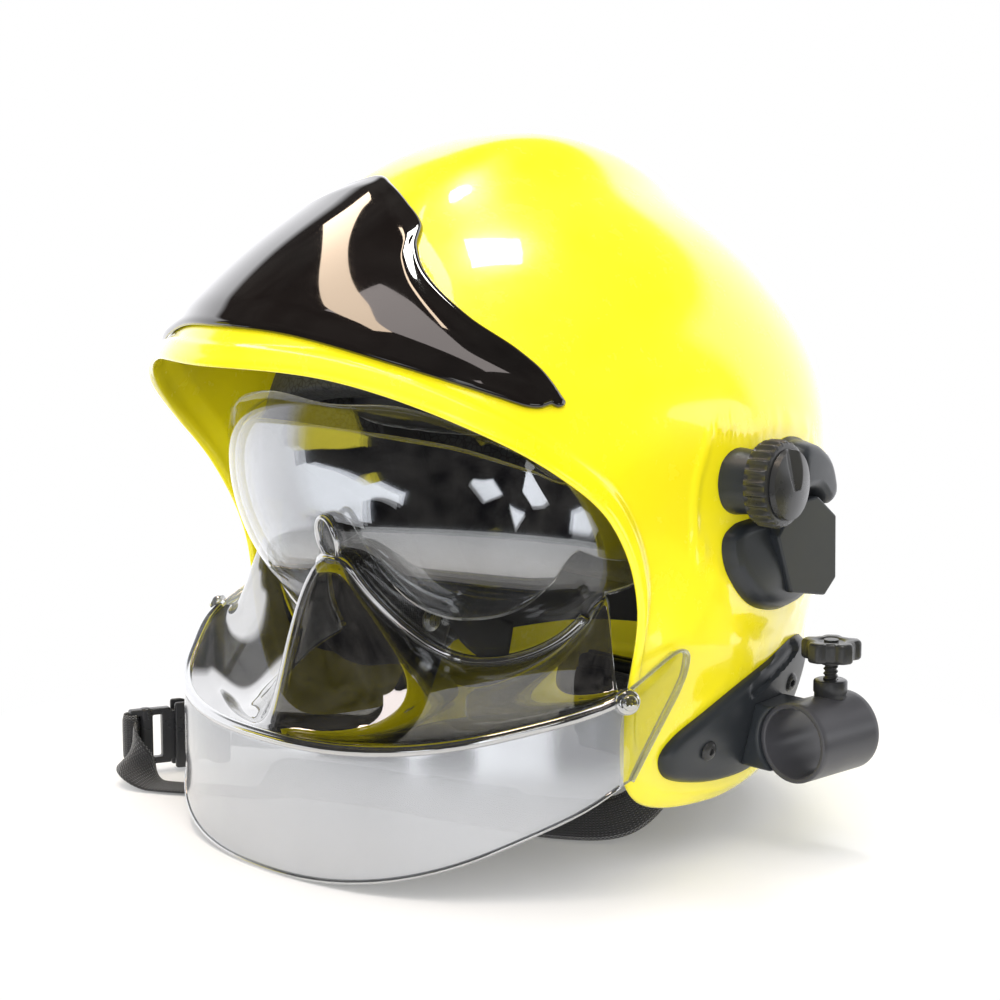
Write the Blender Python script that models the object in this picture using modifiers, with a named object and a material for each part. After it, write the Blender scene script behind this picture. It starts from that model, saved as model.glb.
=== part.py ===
"""Firefighter's jet helmet with face shield, ocular visor, side torch clamp and chin strap.

Metres, +Z up, -Y is the wearer's front, +X is the wearer's left, and the floor is z = 0.
All driving sizes below are in millimetres.
"""

import math

import bmesh
import bpy
import numpy as np
from mathutils import Matrix, Vector

MM = 0.001
GAP = 0.3  # clearance left between touching pieces

# ---- shell: a rounded body about SHELL_C, cut off by an edge curve round a tilted pole
SHELL_C = np.array([0.0, 9.4, 151.8])
TILT = math.radians(25.4)
HALF_WIDTH, FRONT, REAR, TOP, DOWN = 128.4, 142.5, 145.6, 124.3, 234.0
ROUND_POWER = 2.08
POLE = np.array([0.0, math.sin(TILT), math.cos(TILT)])
AHEAD = np.array([0.0, -math.cos(TILT), math.sin(TILT)])
SHELL_T = 4.0
# edge of the shell: (turn from the front, tilt from the pole) in degrees
EDGE = [(0, 97.5), (20, 96), (38, 97), (54, 99.5), (66, 104), (78, 115), (87, 131), (95, 137.5),
        (106, 138.5), (122, 132), (139, 121), (158, 111), (180, 108)]
# raised comb: (angle up from the front, height)
COMB = [(0, 0), (30, 1.6), (50, 4.2), (70, 12.5), (90, 17.2), (105, 15.6), (120, 11.4), (135, 5.2),
        (150, 0), (170, 0), (180, 0)]
COMB_W = 35.4
FLARE = [(0, 30), (20, 20.8), (40, 15.6), (60, 10.4), (85, 0), (180, 0)]  # brim and temples
LIP_H, LIP_IN = 1.9, 10.0  # raised band along the edge, and how far in it starts

# ---- pivots of both visors
PIVOT = np.array([0.0, 2.0, 158.0])
PIN_R, PIN_PLAY = 4.0, 0.06
HUB_R = 23.7

# ---- face shield
FS_HALF, FS_R, FS_POWER, FS_T = 118.0, 97.0, 2.6, 2.4
FS_TOP = [(0, 16.5), (40, 18), (68, 16), (90, 12), (104, 4)]
FS_LOW = [(0, -21.5), (8, -22.5), (15, -30), (23, -39), (30, -47), (39, -53), (52, -55), (70, -55),
          (86, -53.5), (95, -51), (104, -47)]
RIM_HALF, RIM_DEEP, RIM_POWER = 128.0, 135.0, 2.3
RIM_C_Y = 9.4
NOTCH_Y = -50.0
NOTCH_OUT = 5.2

# ---- ocular visor
OV_HALF, OV_R, OV_T = 112.0, 91.5, 2.0
OV_TOP = [(0, 11), (40, 11), (68, 10), (90, 6), (99, 2)]
OV_LOW = [(0, -11), (9, -13), (17, -23), (26, -34), (38, -40), (55, -42), (75, -41), (90, -35), (99, -27)]

# ---- liner
LINER = dict(half=104.0, front=83.0, rear=143.0, up_front=84.0, up=101.0, down=150.0, thick=15.0)
LINER_EDGE = [(0, 93), (40, 96), (70, 101), (90, 104), (120, 103), (150, 100), (180, 98)]

# ---- torch clamp on the left side
TUBE_X, TUBE_Z, TUBE_Y0, TUBE_Y1 = 141.0, 49.0, 33.0, 69.0
TUBE_RO, TUBE_RI = 16.5, 14.3
SCREW_Y, SCREW_R = 57.0, 3.0

# ---- head-size ratchet
RATCHET_Z, MODULE, TEETH = 21.0, 1.0, 12
RACK_LONG, RACK_MID = 84.0, 20.0  # each rack's length, and how far its middle is from the pinion

COLOURS = {
    "yellow": ((1.0, 0.86, 0.02), 0.16, 0.0),
    "gloss_black": ((0.012, 0.011, 0.012), 0.05, 0.0),
    "clear": ((0.86, 0.88, 0.9), 0.04, 0.0),
    "smoke": ((0.55, 0.57, 0.6), 0.05, 0.0),
    "satin_black": ((0.045, 0.05, 0.055), 0.42, 0.0),
    "tube_grey": ((0.05, 0.055, 0.06), 0.5, 0.0),
    "webbing": ((0.02, 0.02, 0.022), 0.85, 0.0),
    "foam": ((0.06, 0.06, 0.065), 0.9, 0.0),
    "liner": ((0.11, 0.11, 0.12), 0.8, 0.0),
    "steel": ((0.62, 0.63, 0.65), 0.3, 1.0),
    "red": ((0.55, 0.03, 0.03), 0.5, 0.0),
}


# ---------------------------------------------------------------- scene helpers
def clear_scene():
    for obj in list(bpy.data.objects):
        bpy.data.objects.remove(obj, do_unlink=True)


def make_collection(name, hidden=False):
    group = bpy.data.collections.new(name)
    bpy.context.scene.collection.children.link(group)
    group.hide_render = hidden
    return group


def material(name, colour):
    rgb, rough, metal = COLOURS[colour]
    mat = bpy.data.materials.new(name)
    mat.use_nodes = True
    shader = mat.node_tree.nodes["Principled BSDF"]
    shader.inputs["Base Color"].default_value = (*rgb, 1.0)
    shader.inputs["Roughness"].default_value = rough
    shader.inputs["Metallic"].default_value = metal
    return mat


def link(name, data, colour, cutter=False):
    obj = bpy.data.objects.new(name, data)
    (CUTTERS if cutter else HELMET).objects.link(obj)
    if cutter:
        obj.hide_render = True
        obj.display_type = "WIRE"
    else:
        data.materials.append(material(name, colour))
    return obj


def place(obj, at, along=None, spin=0.0):
    """Puts the object's origin at a point in millimetres, with its local Z along a direction."""
    turn = Vector(along).to_track_quat("Z", "Y").to_matrix().to_4x4() if along is not None else Matrix()
    obj.matrix_world = Matrix.Translation(Vector(at) * MM) @ turn @ Matrix.Rotation(spin, 4, "Z")
    return obj


def mesh_object(name, points, faces, colour, smooth=True, cutter=False, at=(0, 0, 0)):
    """A mesh from points in millimetres, given in the helmet's frame, with its origin at a chosen point."""
    mesh = bpy.data.meshes.new(name)
    local = (np.asarray(points, float) - np.asarray(at, float)) * MM
    mesh.from_pydata(local.tolist(), [], [tuple(int(i) for i in f) for f in faces])
    work = bmesh.new()
    work.from_mesh(mesh)
    bmesh.ops.remove_doubles(work, verts=work.verts, dist=1e-6)
    bmesh.ops.recalc_face_normals(work, faces=work.faces)
    work.to_mesh(mesh)
    work.free()
    if smooth:
        mesh.shade_smooth()
    obj = link(name, mesh, colour, cutter)
    obj.location = Vector(at) * MM
    return obj


def bevel(obj, width, segments=2, angle=35):
    mod = obj.modifiers.new("bevel", "BEVEL")
    mod.width = width * MM
    mod.segments = segments
    mod.limit_method = "ANGLE"
    mod.angle_limit = math.radians(angle)
    return obj


def cut(obj, cutter):
    mod = obj.modifiers.new("cut", "BOOLEAN")
    mod.operation = "DIFFERENCE"
    mod.solver = "EXACT"
    mod.object = cutter
    return obj


def box(name, centre, size, colour, round_mm=0.0, along=None, spin=0.0, cutter=False):
    work = bmesh.new()
    bmesh.ops.create_cube(work, size=1.0)
    bmesh.ops.scale(work, vec=Vector(size) * MM, verts=work.verts)
    mesh = bpy.data.meshes.new(name)
    work.to_mesh(mesh)
    work.free()
    obj = place(link(name, mesh, colour, cutter), centre, along, spin)
    return bevel(obj, round_mm, 3) if round_mm else obj


def cylinder(name, start, end, radius, colour, sides=48, round_mm=0.0, cutter=False):
    start, end = Vector(start), Vector(end)
    work = bmesh.new()
    bmesh.ops.create_cone(work, cap_ends=True, segments=sides, radius1=radius * MM, radius2=radius * MM,
                          depth=(end - start).length * MM)
    mesh = bpy.data.meshes.new(name)
    work.to_mesh(mesh)
    work.free()
    obj = place(link(name, mesh, colour, cutter), (start + end) / 2, end - start)
    return bevel(obj, round_mm) if round_mm else obj


def lathe(name, profile, at, along, colour, sides=48):
    """Turns a profile of (radius, height) round the line through `at`. It runs down the outer side."""
    mesh = bpy.data.meshes.new(name)
    count = len(profile)
    ring = all(r > 0 for r, _ in profile)
    edges = [(i, i + 1) for i in range(count - 1)] + ([(count - 1, 0)] if ring else [])
    mesh.from_pydata([(r * MM, 0.0, z * MM) for r, z in profile], edges, [])
    obj = place(link(name, mesh, colour), at, along)
    turn = obj.modifiers.new("turn", "SCREW")
    turn.axis = "Z"
    turn.angle = 2 * math.pi
    turn.steps = turn.render_steps = sides
    turn.use_merge_vertices = True
    turn.merge_threshold = 1e-5
    turn.use_smooth_shade = False
    return obj


def prism(name, outlines, thick, at, along, colour, spin=0.0, round_mm=0.0):
    """A flat plate from closed outlines in millimetres: the first is the edge, the others are holes."""
    curve = bpy.data.curves.new(name, "CURVE")
    curve.dimensions = "2D"
    curve.fill_mode = "BOTH"
    curve.extrude = (thick / 2 - round_mm) * MM
    curve.bevel_depth = round_mm * MM
    curve.bevel_resolution = 1
    curve.offset = -round_mm * MM
    for outline in outlines:
        spline = curve.splines.new("POLY")
        spline.points.add(len(outline) - 1)
        for point, (x, y) in zip(spline.points, outline):
            point.co = (x * MM, y * MM, 0.0, 1.0)
        spline.use_cyclic_u = True
    return place(link(name, curve, colour), at, along, spin)


def circle(radius, sides=48, centre=(0, 0)):
    return [(centre[0] + radius * math.cos(a), centre[1] + radius * math.sin(a))
            for a in np.linspace(0, 2 * math.pi, sides, endpoint=False)]


# ---------------------------------------------------------------- smooth functions
def spline(table, x):
    """A smooth curve through a table that is the same on both sides of zero."""
    table = np.array(table, float)
    xs = np.concatenate([[-table[1, 0]], table[:, 0], [2 * table[-1, 0] - table[-2, 0]]])
    ys = np.concatenate([[table[1, 1]], table[:, 1], [table[-2, 1]]])
    x = np.minimum(np.abs(np.asarray(x, float)), table[-1, 0])
    i = np.clip(np.searchsorted(xs, x) - 1, 1, len(xs) - 3)
    wide = xs[i + 1] - xs[i]
    t = (x - xs[i]) / wide
    m0 = (ys[i + 1] - ys[i - 1]) / (xs[i + 1] - xs[i - 1]) * wide
    m1 = (ys[i + 2] - ys[i]) / (xs[i + 2] - xs[i]) * wide
    return ((2 * t**3 - 3 * t**2 + 1) * ys[i] + (t**3 - 2 * t**2 + t) * m0
            + (3 * t**2 - 2 * t**3) * ys[i + 1] + (t**3 - t**2) * m1)


def ease(t):
    t = np.clip(t, 0, 1)
    return t * t * t * (t * (6 * t - 15) + 10)


def mix(low, high, side):
    return low + (high - low) * ease(0.5 + 0.5 * side)


# ---------------------------------------------------------------- shell surface
def heading(turn, tilt):
    turn, tilt = np.radians(turn), np.radians(tilt)
    flat = np.sin(tilt)
    return ((flat * np.sin(turn))[..., None] * np.array([1.0, 0, 0])
            + (flat * np.cos(turn))[..., None] * AHEAD + np.cos(tilt)[..., None] * POLE)


def shell_radius(d):
    reach = mix(FRONT, REAR, d[..., 1] * 1.4)
    rise = mix(DOWN, TOP, np.clip(d[..., 2] * 1.6, -1, 1))
    power = ROUND_POWER
    r = ((np.abs(d[..., 0]) / HALF_WIDTH) ** power + (np.abs(d[..., 1]) / reach) ** power
         + (np.abs(d[..., 2]) / rise) ** power) ** (-1 / power)
    tilt = np.degrees(np.arccos(np.clip(d @ POLE, -1, 1)))
    turn = np.degrees(np.arctan2(d[..., 0], d @ AHEAD))
    edge = spline(EDGE, turn)
    along = tilt / edge
    up = np.degrees(np.arctan2(d[..., 2], -d[..., 1]))
    r = r + spline(COMB, np.where(up < 0, 0, up)) / (1 + (np.abs(r * d[..., 0]) / COMB_W) ** 4)
    r = r + spline(FLARE, turn) * np.clip((along - 0.35) / 0.65, 0, 1.2) ** 2.2
    inside = np.radians(edge - tilt) * r
    return r + LIP_H * ease((LIP_IN - inside) / 4.0 + 0.5)


def shell_point(turn, along, off=0.0):
    """A point of the shell: `along` runs from 0 at the crown to 1 at the edge, `off` is outwards."""
    d = heading(turn, along * spline(EDGE, turn))
    return SHELL_C + (shell_radius(d) + off)[..., None] * d


def shell_x(y, z, off=0.0):
    """The shell's half width at a height and depth, `off` millimetres outside it."""
    low, high = np.full(np.shape(y), 20.0), np.full(np.shape(y), 190.0)
    for _ in range(40):
        x = (low + high) / 2
        v = np.stack([x, y - SHELL_C[1], z - SHELL_C[2]], -1)
        far = np.linalg.norm(v, axis=-1)
        outside = far > shell_radius(v / far[..., None]) + off
        high, low = np.where(outside, x, high), np.where(outside, low, x)
    return (low + high) / 2


def bowl(name, outer, inner, colour):
    """A closed bowl from two grids (turn, along), whose first `along` column is one point at the crown."""
    turns, steps = outer.shape[:2]
    points = np.concatenate([outer.reshape(-1, 3), inner.reshape(-1, 3)])
    faces = []
    for i in range(turns):
        k = (i + 1) % turns
        for j in range(steps - 1):
            a, b, c, d = i * steps + j, k * steps + j, k * steps + j + 1, i * steps + j + 1
            for shift, face in ((0, (a, b, c, d)), (turns * steps, (d, c, b, a))):
                faces.append([f + shift for f in (face if j else [f for n, f in enumerate(face)
                                                                  if not (f in (a, b) and f != a)])])
        a, b = i * steps + steps - 1, k * steps + steps - 1
        faces.append((a, b, b + turns * steps, a + turns * steps))
    return mesh_object(name, points, faces, colour)


def ribbon(name, path, wide, thick, colour, normals, at=(0, 0, 0)):
    """A strap: a flat section carried along a path, with its face towards each normal."""
    path, normals = np.asarray(path, float), np.asarray(normals, float)
    tangent = np.gradient(path, axis=0)
    tangent /= np.linalg.norm(tangent, axis=1)[:, None]
    normals = normals - (normals * tangent).sum(1)[:, None] * tangent
    normals /= np.linalg.norm(normals, axis=1)[:, None]
    across = np.cross(tangent, normals)
    wide = np.broadcast_to(wide, (len(path),))[:, None] / 2
    rings = [path + sx * wide * across + sn * thick / 2 * normals for sx, sn in
             ((-1, -1), (1, -1), (1, 1), (-1, 1))]
    points = np.stack(rings, 1).reshape(-1, 3)
    faces = [(4 * i + k, 4 * i + (k + 1) % 4, 4 * i + 4 + (k + 1) % 4, 4 * i + 4 + k)
             for i in range(len(path) - 1) for k in range(4)]
    last = 4 * (len(path) - 1)
    faces += [(3, 2, 1, 0), (last, last + 1, last + 2, last + 3)]
    return mesh_object(name, points, faces, colour, smooth=False, at=at)


def smooth_path(points, count):
    """A Catmull-Rom curve through the points, resampled."""
    p = np.asarray(points, float)
    p = np.concatenate([[2 * p[0] - p[1]], p, [2 * p[-1] - p[-2]]])
    out = []
    for s in np.linspace(0, len(p) - 3 - 1e-9, count):
        i, t = int(s), s - int(s)
        a, b, c, d = p[i:i + 4]
        out.append(0.5 * (2 * b + (c - a) * t + (2 * a - 5 * b + 4 * c - d) * t**2
                          + (3 * b - a - 3 * c + d) * t**3))
    return np.array(out)


def side_pad(name, outline, low, high, colour, side=1, edge_drop=2.0, rings=3, at=(0, 0, 0)):
    """A piece lying on the shell's side: its outline is in (y, z), and it spans two offsets from it."""
    outline = np.asarray(outline, float)
    middle = outline.mean(0)
    count = len(outline)
    points, faces = [], []
    for layer, off in enumerate((low, high)):
        for k in range(rings):
            s = 1 - k / rings
            yz = middle + (outline - middle) * (1 - (1 - s) ** 1.0)
            drop = edge_drop * (1 - ease(k / 1.2)) if layer else 0.0
            x = shell_x(yz[:, 0], yz[:, 1], off - drop)
            points += np.stack([side * x, yz[:, 0], yz[:, 1]], -1).tolist()
        x = shell_x(middle[:1], middle[1:], off)
        points.append([side * float(x[0]), *middle])
    stack = rings * count + 1
    for layer in range(2):
        base = layer * stack
        for k in range(rings - 1):
            for i in range(count):
                n = (i + 1) % count
                faces.append((base + k * count + i, base + k * count + n,
                              base + (k + 1) * count + n, base + (k + 1) * count + i))
        for i in range(count):
            faces.append((base + (rings - 1) * count + i, base + (rings - 1) * count + (i + 1) % count,
                          base + rings * count))
    for i in range(count):
        faces.append((i, (i + 1) % count, stack + (i + 1) % count, stack + i))
    return mesh_object(name, points, faces, colour, at=at)


def rounded(points, per=6):
    """A closed smooth outline through a few points."""
    p = np.asarray(points, float)
    n = len(p)
    out = []
    for i in range(n):
        a, b, c, d = p[i - 1], p[i], p[(i + 1) % n], p[(i + 2) % n]
        for t in np.linspace(0, 1, per, endpoint=False):
            out.append(0.5 * (2 * b + (c - a) * t + (2 * a - 5 * b + 4 * c - d) * t**2
                              + (3 * b - a - 3 * c + d) * t**3))
    return np.array(out)


# ---------------------------------------------------------------- shell and what is on it
def build_shell():
    half = np.array([6, 12, 18, 25, 32, 39, 47, 55, 62, 68, 73, 78, 82, 86, 90, 94, 99, 105, 112, 120, 129,
                     138, 148, 158, 169])
    turns = np.concatenate([-half[::-1], [0], half, [180]])
    along = np.concatenate([[0.0], np.linspace(0.1, 0.84, 10), [0.89, 0.92, 0.945, 0.97, 1.0]])
    t, a = np.meshgrid(turns, along, indexing="ij")
    bowl("outer_shell", shell_point(t, a), shell_point(t, a, -SHELL_T), "yellow")


PLATE_TOP = [(0, 55), (5, 57), (12.6, 61.2), (18.1, 65.2), (19.9, 69.6), (24.7, 75.2), (33.7, 80.4),
             (42.6, 83.2), (49.3, 86.2), (50.9, 88)]
PLATE_LOW = [(0, 91.6), (12.6, 91.2), (27.6, 91.6), (42.3, 91.6), (48, 91.2), (50.9, 89.6)]


def build_front_plate():
    """The glossy plate over the forehead, laid on the shell."""
    turns = np.array([-50.9, -50, -48, -43, -38, -33, -28, -24, -21.5, -19.9, -18.3, -16, -12, -7])
    turns = np.concatenate([turns, [0], -turns[::-1]])
    rows = np.array([0, 0.04, 0.14, 0.32, 0.5, 0.68, 0.86, 0.96, 1.0])
    top, low = spline(PLATE_TOP, turns), spline(PLATE_LOW, turns)
    t, r = np.meshgrid(turns, rows, indexing="ij")
    tilt = top[:, None] + (low - top)[:, None] * r
    along = tilt / spline(EDGE, t)
    rise = 2.6 * ease(np.minimum(r, 1 - r) / 0.1) * ease((51.6 - np.abs(t)) / 4)
    layers = [shell_point(t, along, 0.8), shell_point(t, along, 1.6 + rise)]
    n, m = t.shape
    points = np.concatenate([g.reshape(-1, 3) for g in layers])
    faces = []
    for i in range(n - 1):
        for j in range(m - 1):
            a, b = i * m + j, (i + 1) * m + j
            faces += [(a, b, b + 1, a + 1), (n * m + a, n * m + a + 1, n * m + b + 1, n * m + b)]
    rim = ([(i * m, (i + 1) * m) for i in range(n - 1)]
           + [((n - 1) * m + j, (n - 1) * m + j + 1) for j in range(m - 1)]
           + [((i + 1) * m + m - 1, i * m + m - 1) for i in range(n - 1)]
           + [(j + 1, j) for j in range(m - 1)])
    faces += [(a, b, n * m + b, n * m + a) for a, b in rim]
    mesh_object("front_plate", points, faces, "gloss_black")


def liner_radius(d):
    size = LINER
    up = np.degrees(np.arctan2(d[..., 2], -d[..., 1]))
    reach = mix(size["front"], size["rear"], np.clip(d[..., 1] * 1.5 - 0.1, -1, 1))
    crown = size["up_front"] + (size["up"] - size["up_front"]) * ease((up - 62) / 40)
    rise = mix(size["down"], crown, np.clip(d[..., 2] * 2.5 + 0.2, -1, 1))
    front_low = (d[..., 2] < 0) & (d[..., 1] < 0)
    rise = np.where(front_low, mix(size["front"], rise, np.clip(d[..., 1] * 2 + 1, -1, 1)), rise)
    power = FS_POWER
    ring = np.sqrt((d[..., 1] / reach) ** 2 + (d[..., 2] / rise) ** 2)
    return ((np.abs(d[..., 0]) / size["half"]) ** power + ring ** power) ** (-1 / power)


def liner_point(turn, along, off=0.0):
    d = heading(turn, along * spline(LINER_EDGE, turn))
    return PIVOT + (liner_radius(d) + off)[..., None] * d


def build_liner():
    turns = np.linspace(-180, 180, 41)[:-1]
    along = np.concatenate([[0.0], np.linspace(0.12, 1.0, 10)])
    t, a = np.meshgrid(turns, along, indexing="ij")
    bowl("impact_liner", liner_point(t, a), liner_point(t, a, -LINER["thick"]), "liner")


# ---------------------------------------------------------------- visors
def visor_point(x, angle, half, radius):
    """A point of a visor: the same curve turned about the pivot axis."""
    r = radius * np.clip(1 - (np.abs(x) / half) ** FS_POWER, 0, 1) ** (1 / FS_POWER)
    angle = np.radians(angle)
    return np.stack([x + 0 * r, PIVOT[1] - r * np.cos(angle), PIVOT[2] + r * np.sin(angle)], -1)


def ear_x(r, half, radius):
    return half * np.clip(1 - (r / radius) ** FS_POWER, 0, 1) ** (1 / FS_POWER)


def visor_grid(half, radius, top, low, x_end, centre_cols, ear_cols, rows):
    """Columns from the right ear to the left ear, rows from the top edge down."""
    xs = x_end * np.sin(np.linspace(0, math.pi / 2, centre_cols)) ** 1.0
    xs = x_end * np.linspace(0, 1, centre_cols)
    r_end = radius * (1 - (x_end / half) ** FS_POWER) ** (1 / FS_POWER)
    rs = np.linspace(r_end, HUB_R + 1.1, ear_cols + 1)[1:]
    x_all = np.concatenate([xs, ear_x(rs, half, radius)])
    t_all = np.concatenate([spline(top, xs), top[-1][1] + (38 - top[-1][1]) * (r_end - rs) / (r_end - HUB_R)])
    b_all = np.concatenate([spline(low, xs), low[-1][1] + (-74 - low[-1][1]) * (r_end - rs) / (r_end - HUB_R)])
    x_all = np.concatenate([-x_all[:0:-1], x_all])
    t_all, b_all = (np.concatenate([v[:0:-1], v]) for v in (t_all, b_all))
    s = np.linspace(0, 1, rows)
    angle = t_all[:, None] + (b_all - t_all)[:, None] * s[None]
    return visor_point(np.repeat(x_all[:, None], rows, 1), angle, half, radius)


class Sheet:
    """A thin moulding: patches of quads joined where their points meet, then given a thickness."""

    def __init__(self):
        self.points, self.faces = [], []

    def patch(self, grid):
        n, m = grid.shape[:2]
        base = len(self.points)
        self.points += grid.reshape(-1, 3).tolist()
        self.faces += [(base + i * m + j, base + (i + 1) * m + j, base + (i + 1) * m + j + 1, base + i * m + j + 1)
                       for i in range(n - 1) for j in range(m - 1)]

    def solid(self, name, colour, thick, outward):
        obj = mesh_object(name, self.points, self.faces, colour, at=PIVOT)
        mesh = obj.data
        middle = Vector(outward)
        nearest = max(mesh.polygons, key=lambda f: f.center.dot(middle))
        if nearest.normal.dot(middle) < 0:
            mesh.flip_normals()
        shell = obj.modifiers.new("wall", "SOLIDIFY")
        shell.thickness = thick * MM
        shell.offset = -1.0
        shell.use_even_offset = True
        shell.use_rim = True
        return obj


def rim_xy(q):
    """The face shield's rim in plan: q is 0 at the front and 1 at the notch in front of the shell's edge."""
    share = (RIM_C_Y - NOTCH_Y) / RIM_DEEP
    end = math.acos(share ** (RIM_POWER / 2))
    angle = np.abs(q) * end
    x = np.sign(q) * RIM_HALF * np.sin(angle) ** (2 / RIM_POWER)
    y = RIM_C_Y - RIM_DEEP * np.cos(angle) ** (2 / RIM_POWER)
    flare = NOTCH_OUT * ease((y + 92) / 38)
    return x + np.sign(q) * flare, y, 1 - np.cos(angle)


def face_shield_grids():
    eye = visor_grid(FS_HALF, FS_R, FS_TOP, FS_LOW, 104.0, 20, 4, 7)
    count = 39
    first = (eye.shape[0] - count) // 2
    upper = eye[first:first + count, -1]
    q = np.linspace(-1, 1, count)
    x, y, k = rim_xy(q)
    rim = np.stack([x, y, 56 + 29 * k + 17 * k * k], -1)
    low = np.stack([x, y, 60 * k + 22 * k * k], -1)
    s = np.linspace(0, 1, 8)[None, :, None]
    out = ease(s * 0.86 + 0.07) - ease(0.07)
    out = out / (ease(0.93) - ease(0.07))
    dip = (1 - np.abs(q)) [:, None, None] * 9.0 * np.sin(np.pi * s) * np.array([0, 0, 1.0])
    shelf = upper[:, None] * (1 - s) + rim[:, None] * s
    shelf[..., 2:] = upper[:, None, 2:] * (1 - out) + rim[:, None, 2:] * out
    keel = 13.0 * np.exp(-(x[:, None, None] / 13.0) ** 2) * np.sin(np.pi * s)
    shelf = shelf + keel * np.array([0, -0.55, 0.5]) - dip * (1 - np.exp(-(x[:, None, None] / 22.0) ** 2))
    bead_s = np.array([0.0, 0.35, 0.7, 1.0])
    bow = 2.2
    ahead = np.stack([x, y - RIM_C_Y, 0 * x], -1)
    ahead /= np.linalg.norm(ahead, axis=1)[:, None]
    bead = np.stack([rim + bow * math.sin(math.pi / 2 * b) * ahead + np.array([0, 0, -2.4 * (1 - math.cos(math.pi / 2 * b))])
                     for b in bead_s], 1)
    start = bead[:, -1]
    foot = low + bow * ahead
    t = np.linspace(0, 1, 4)[None, :, None]
    band = start[:, None] * (1 - t) + foot[:, None] * t
    panels = []
    for side in (0, -1):
        skirt = np.concatenate([bead[side][:-1], band[side]])
        share = np.linspace(0, 1, len(skirt))
        back_y = np.interp(share, [0, 0.16, 0.3, 1], [-21, -15, -17.5, -47.5])
        back_z = np.interp(share, [0, 0.16, 0.3, 1], [93, 91, 83, skirt[-1][2] + 1.5])
        back = np.stack([np.sign(skirt[:, 0]) * (np.abs(skirt[:, 0]) + 0.9 * share * 0 + 0.8), back_y, back_z], -1)
        f = np.linspace(0, 1, 5)[:, None, None]
        panels.append(skirt[None] * (1 - f) + back[None] * f)
    return eye, shelf, bead, band, panels


def build_face_shield():
    eye, shelf, bead, band, panels = face_shield_grids()
    sheet = Sheet()
    for grid in (eye, shelf, bead, band):
        sheet.patch(grid)
    for panel in panels:
        sheet.patch(panel)
    sheet.solid("face_shield", "clear", FS_T, (0, -1, -0.2))


def build_ocular_visor():
    sheet = Sheet()
    sheet.patch(visor_grid(OV_HALF, OV_R, OV_TOP, OV_LOW, 99.0, 16, 4, 6))
    sheet.solid("ocular_visor", "smoke", OV_T, (0, -1, 0))


def build_pivots():
    for side, word in ((1, "left"), (-1, "right")):
        out = (side, 0, 0)
        for what, inner, thick in (("shield_hub", 115.2, 3.0), ("ocular_hub", 109.6, 2.8)):
            prism(f"{what}_{word}", [circle(HUB_R, 36), circle(PIN_R + PIN_PLAY, 32)], thick,
                  (side * (inner + thick / 2), PIVOT[1], PIVOT[2]), out, "satin_black")
        lathe(f"pivot_pin_{word}", [(0, 122.8), (7.6, 122.8), (8.4, 122.0), (8.4, 118.6), (PIN_R, 118.6),
                                    (PIN_R, 105.2), (0, 105.2)], (0, PIVOT[1], PIVOT[2]), out, "steel", 32)
        lathe(f"pivot_clip_{word}", [(7.0, 109.3), (7.0, 107.0), (PIN_R + 0.02, 107.0), (PIN_R + 0.02, 109.3)],
              (0, PIVOT[1], PIVOT[2]), out, "steel", 32)


# ---------------------------------------------------------------- left side bracket and torch clamp
def build_side_bracket():
    base = rounded([(20, 172), (44, 173), (66, 166), (78, 146), (79, 124), (70, 106), (48, 100), (24, 105),
                    (8, 120), (5, 136), (14, 142), (8, 158)], 3)
    side_pad("bracket_base", base, GAP, 5.6, "satin_black", edge_drop=2.2)
    arm = rounded([(36, 168), (50, 170), (64, 162), (70, 148), (62, 142), (50, 150), (36, 152)], 4)
    side_pad("bracket_arm", arm, 5.9, 15.5, "satin_black", edge_drop=2.4)
    slab = [(34.5, 147), (48, 147), (60, 138), (66, 112), (62, 106), (40, 110), (26, 134)]
    side_pad("bracket_slab", slab, 5.9, 13.5, "satin_black", edge_drop=0.8)
    wedge = [(63.5, 138), (71, 136), (74, 122), (72, 112), (68.5, 112)]
    side_pad("bracket_wedge", wedge, 5.9, 11.0, "satin_black", edge_drop=3.0)
    centre = np.array([float(shell_x(np.array([13.0]), np.array([157.0]))[0]), 13.0, 157.0])
    axis = Vector((0.985, 0.17, 0.02)).normalized()
    low = centre + np.array(axis) * 10.0
    ribs = [(17.6 - (1.5 if (i // 2) % 2 else 0.0), 2 * math.pi * i / 96) for i in range(96)]
    knob = prism("bracket_knob", [[(r * math.cos(a), r * math.sin(a)) for r, a in ribs]], 11.0,
                 low + np.array(axis) * 5.5, axis, "satin_black")
    knob.data.name = "bracket_knob"
    lathe("bracket_knob_face", [(0, 5.0), (3.5, 5.0), (13.0, 2.6), (14.2, 0.3), (0, 0.3)],
          low + np.array(axis) * 11.0, axis, "satin_black", sides=6)
    return low, axis


def build_side_plates():
    outline = rounded([(-17, 47), (-12, 38), (2, 33), (22, 30), (44, 30), (61, 36), (73, 52), (80, 70),
                       (76, 82), (62, 84), (44, 79), (22, 72), (0, 62), (-12, 55)], 3)
    for side, word in ((1, "left"), (-1, "right")):
        side_pad(f"side_plate_{word}", outline, GAP, 5.2, "satin_black", side, edge_drop=2.6)
        for n, (y, z) in enumerate(((6, 47), (60, 66))):
            x = float(shell_x(np.array([float(y)]), np.array([float(z)]), 5.2)[0])
            lathe(f"plate_screw_{word}_{n + 1}", [(0, 2.0), (2.4, 1.9), (4.0, 0.9), (4.2, 0.2), (0, 0.2)],
                  (side * (x + 0.5), y, z), (side * 0.985, 0.05, -0.17), "steel", 24)


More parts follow.
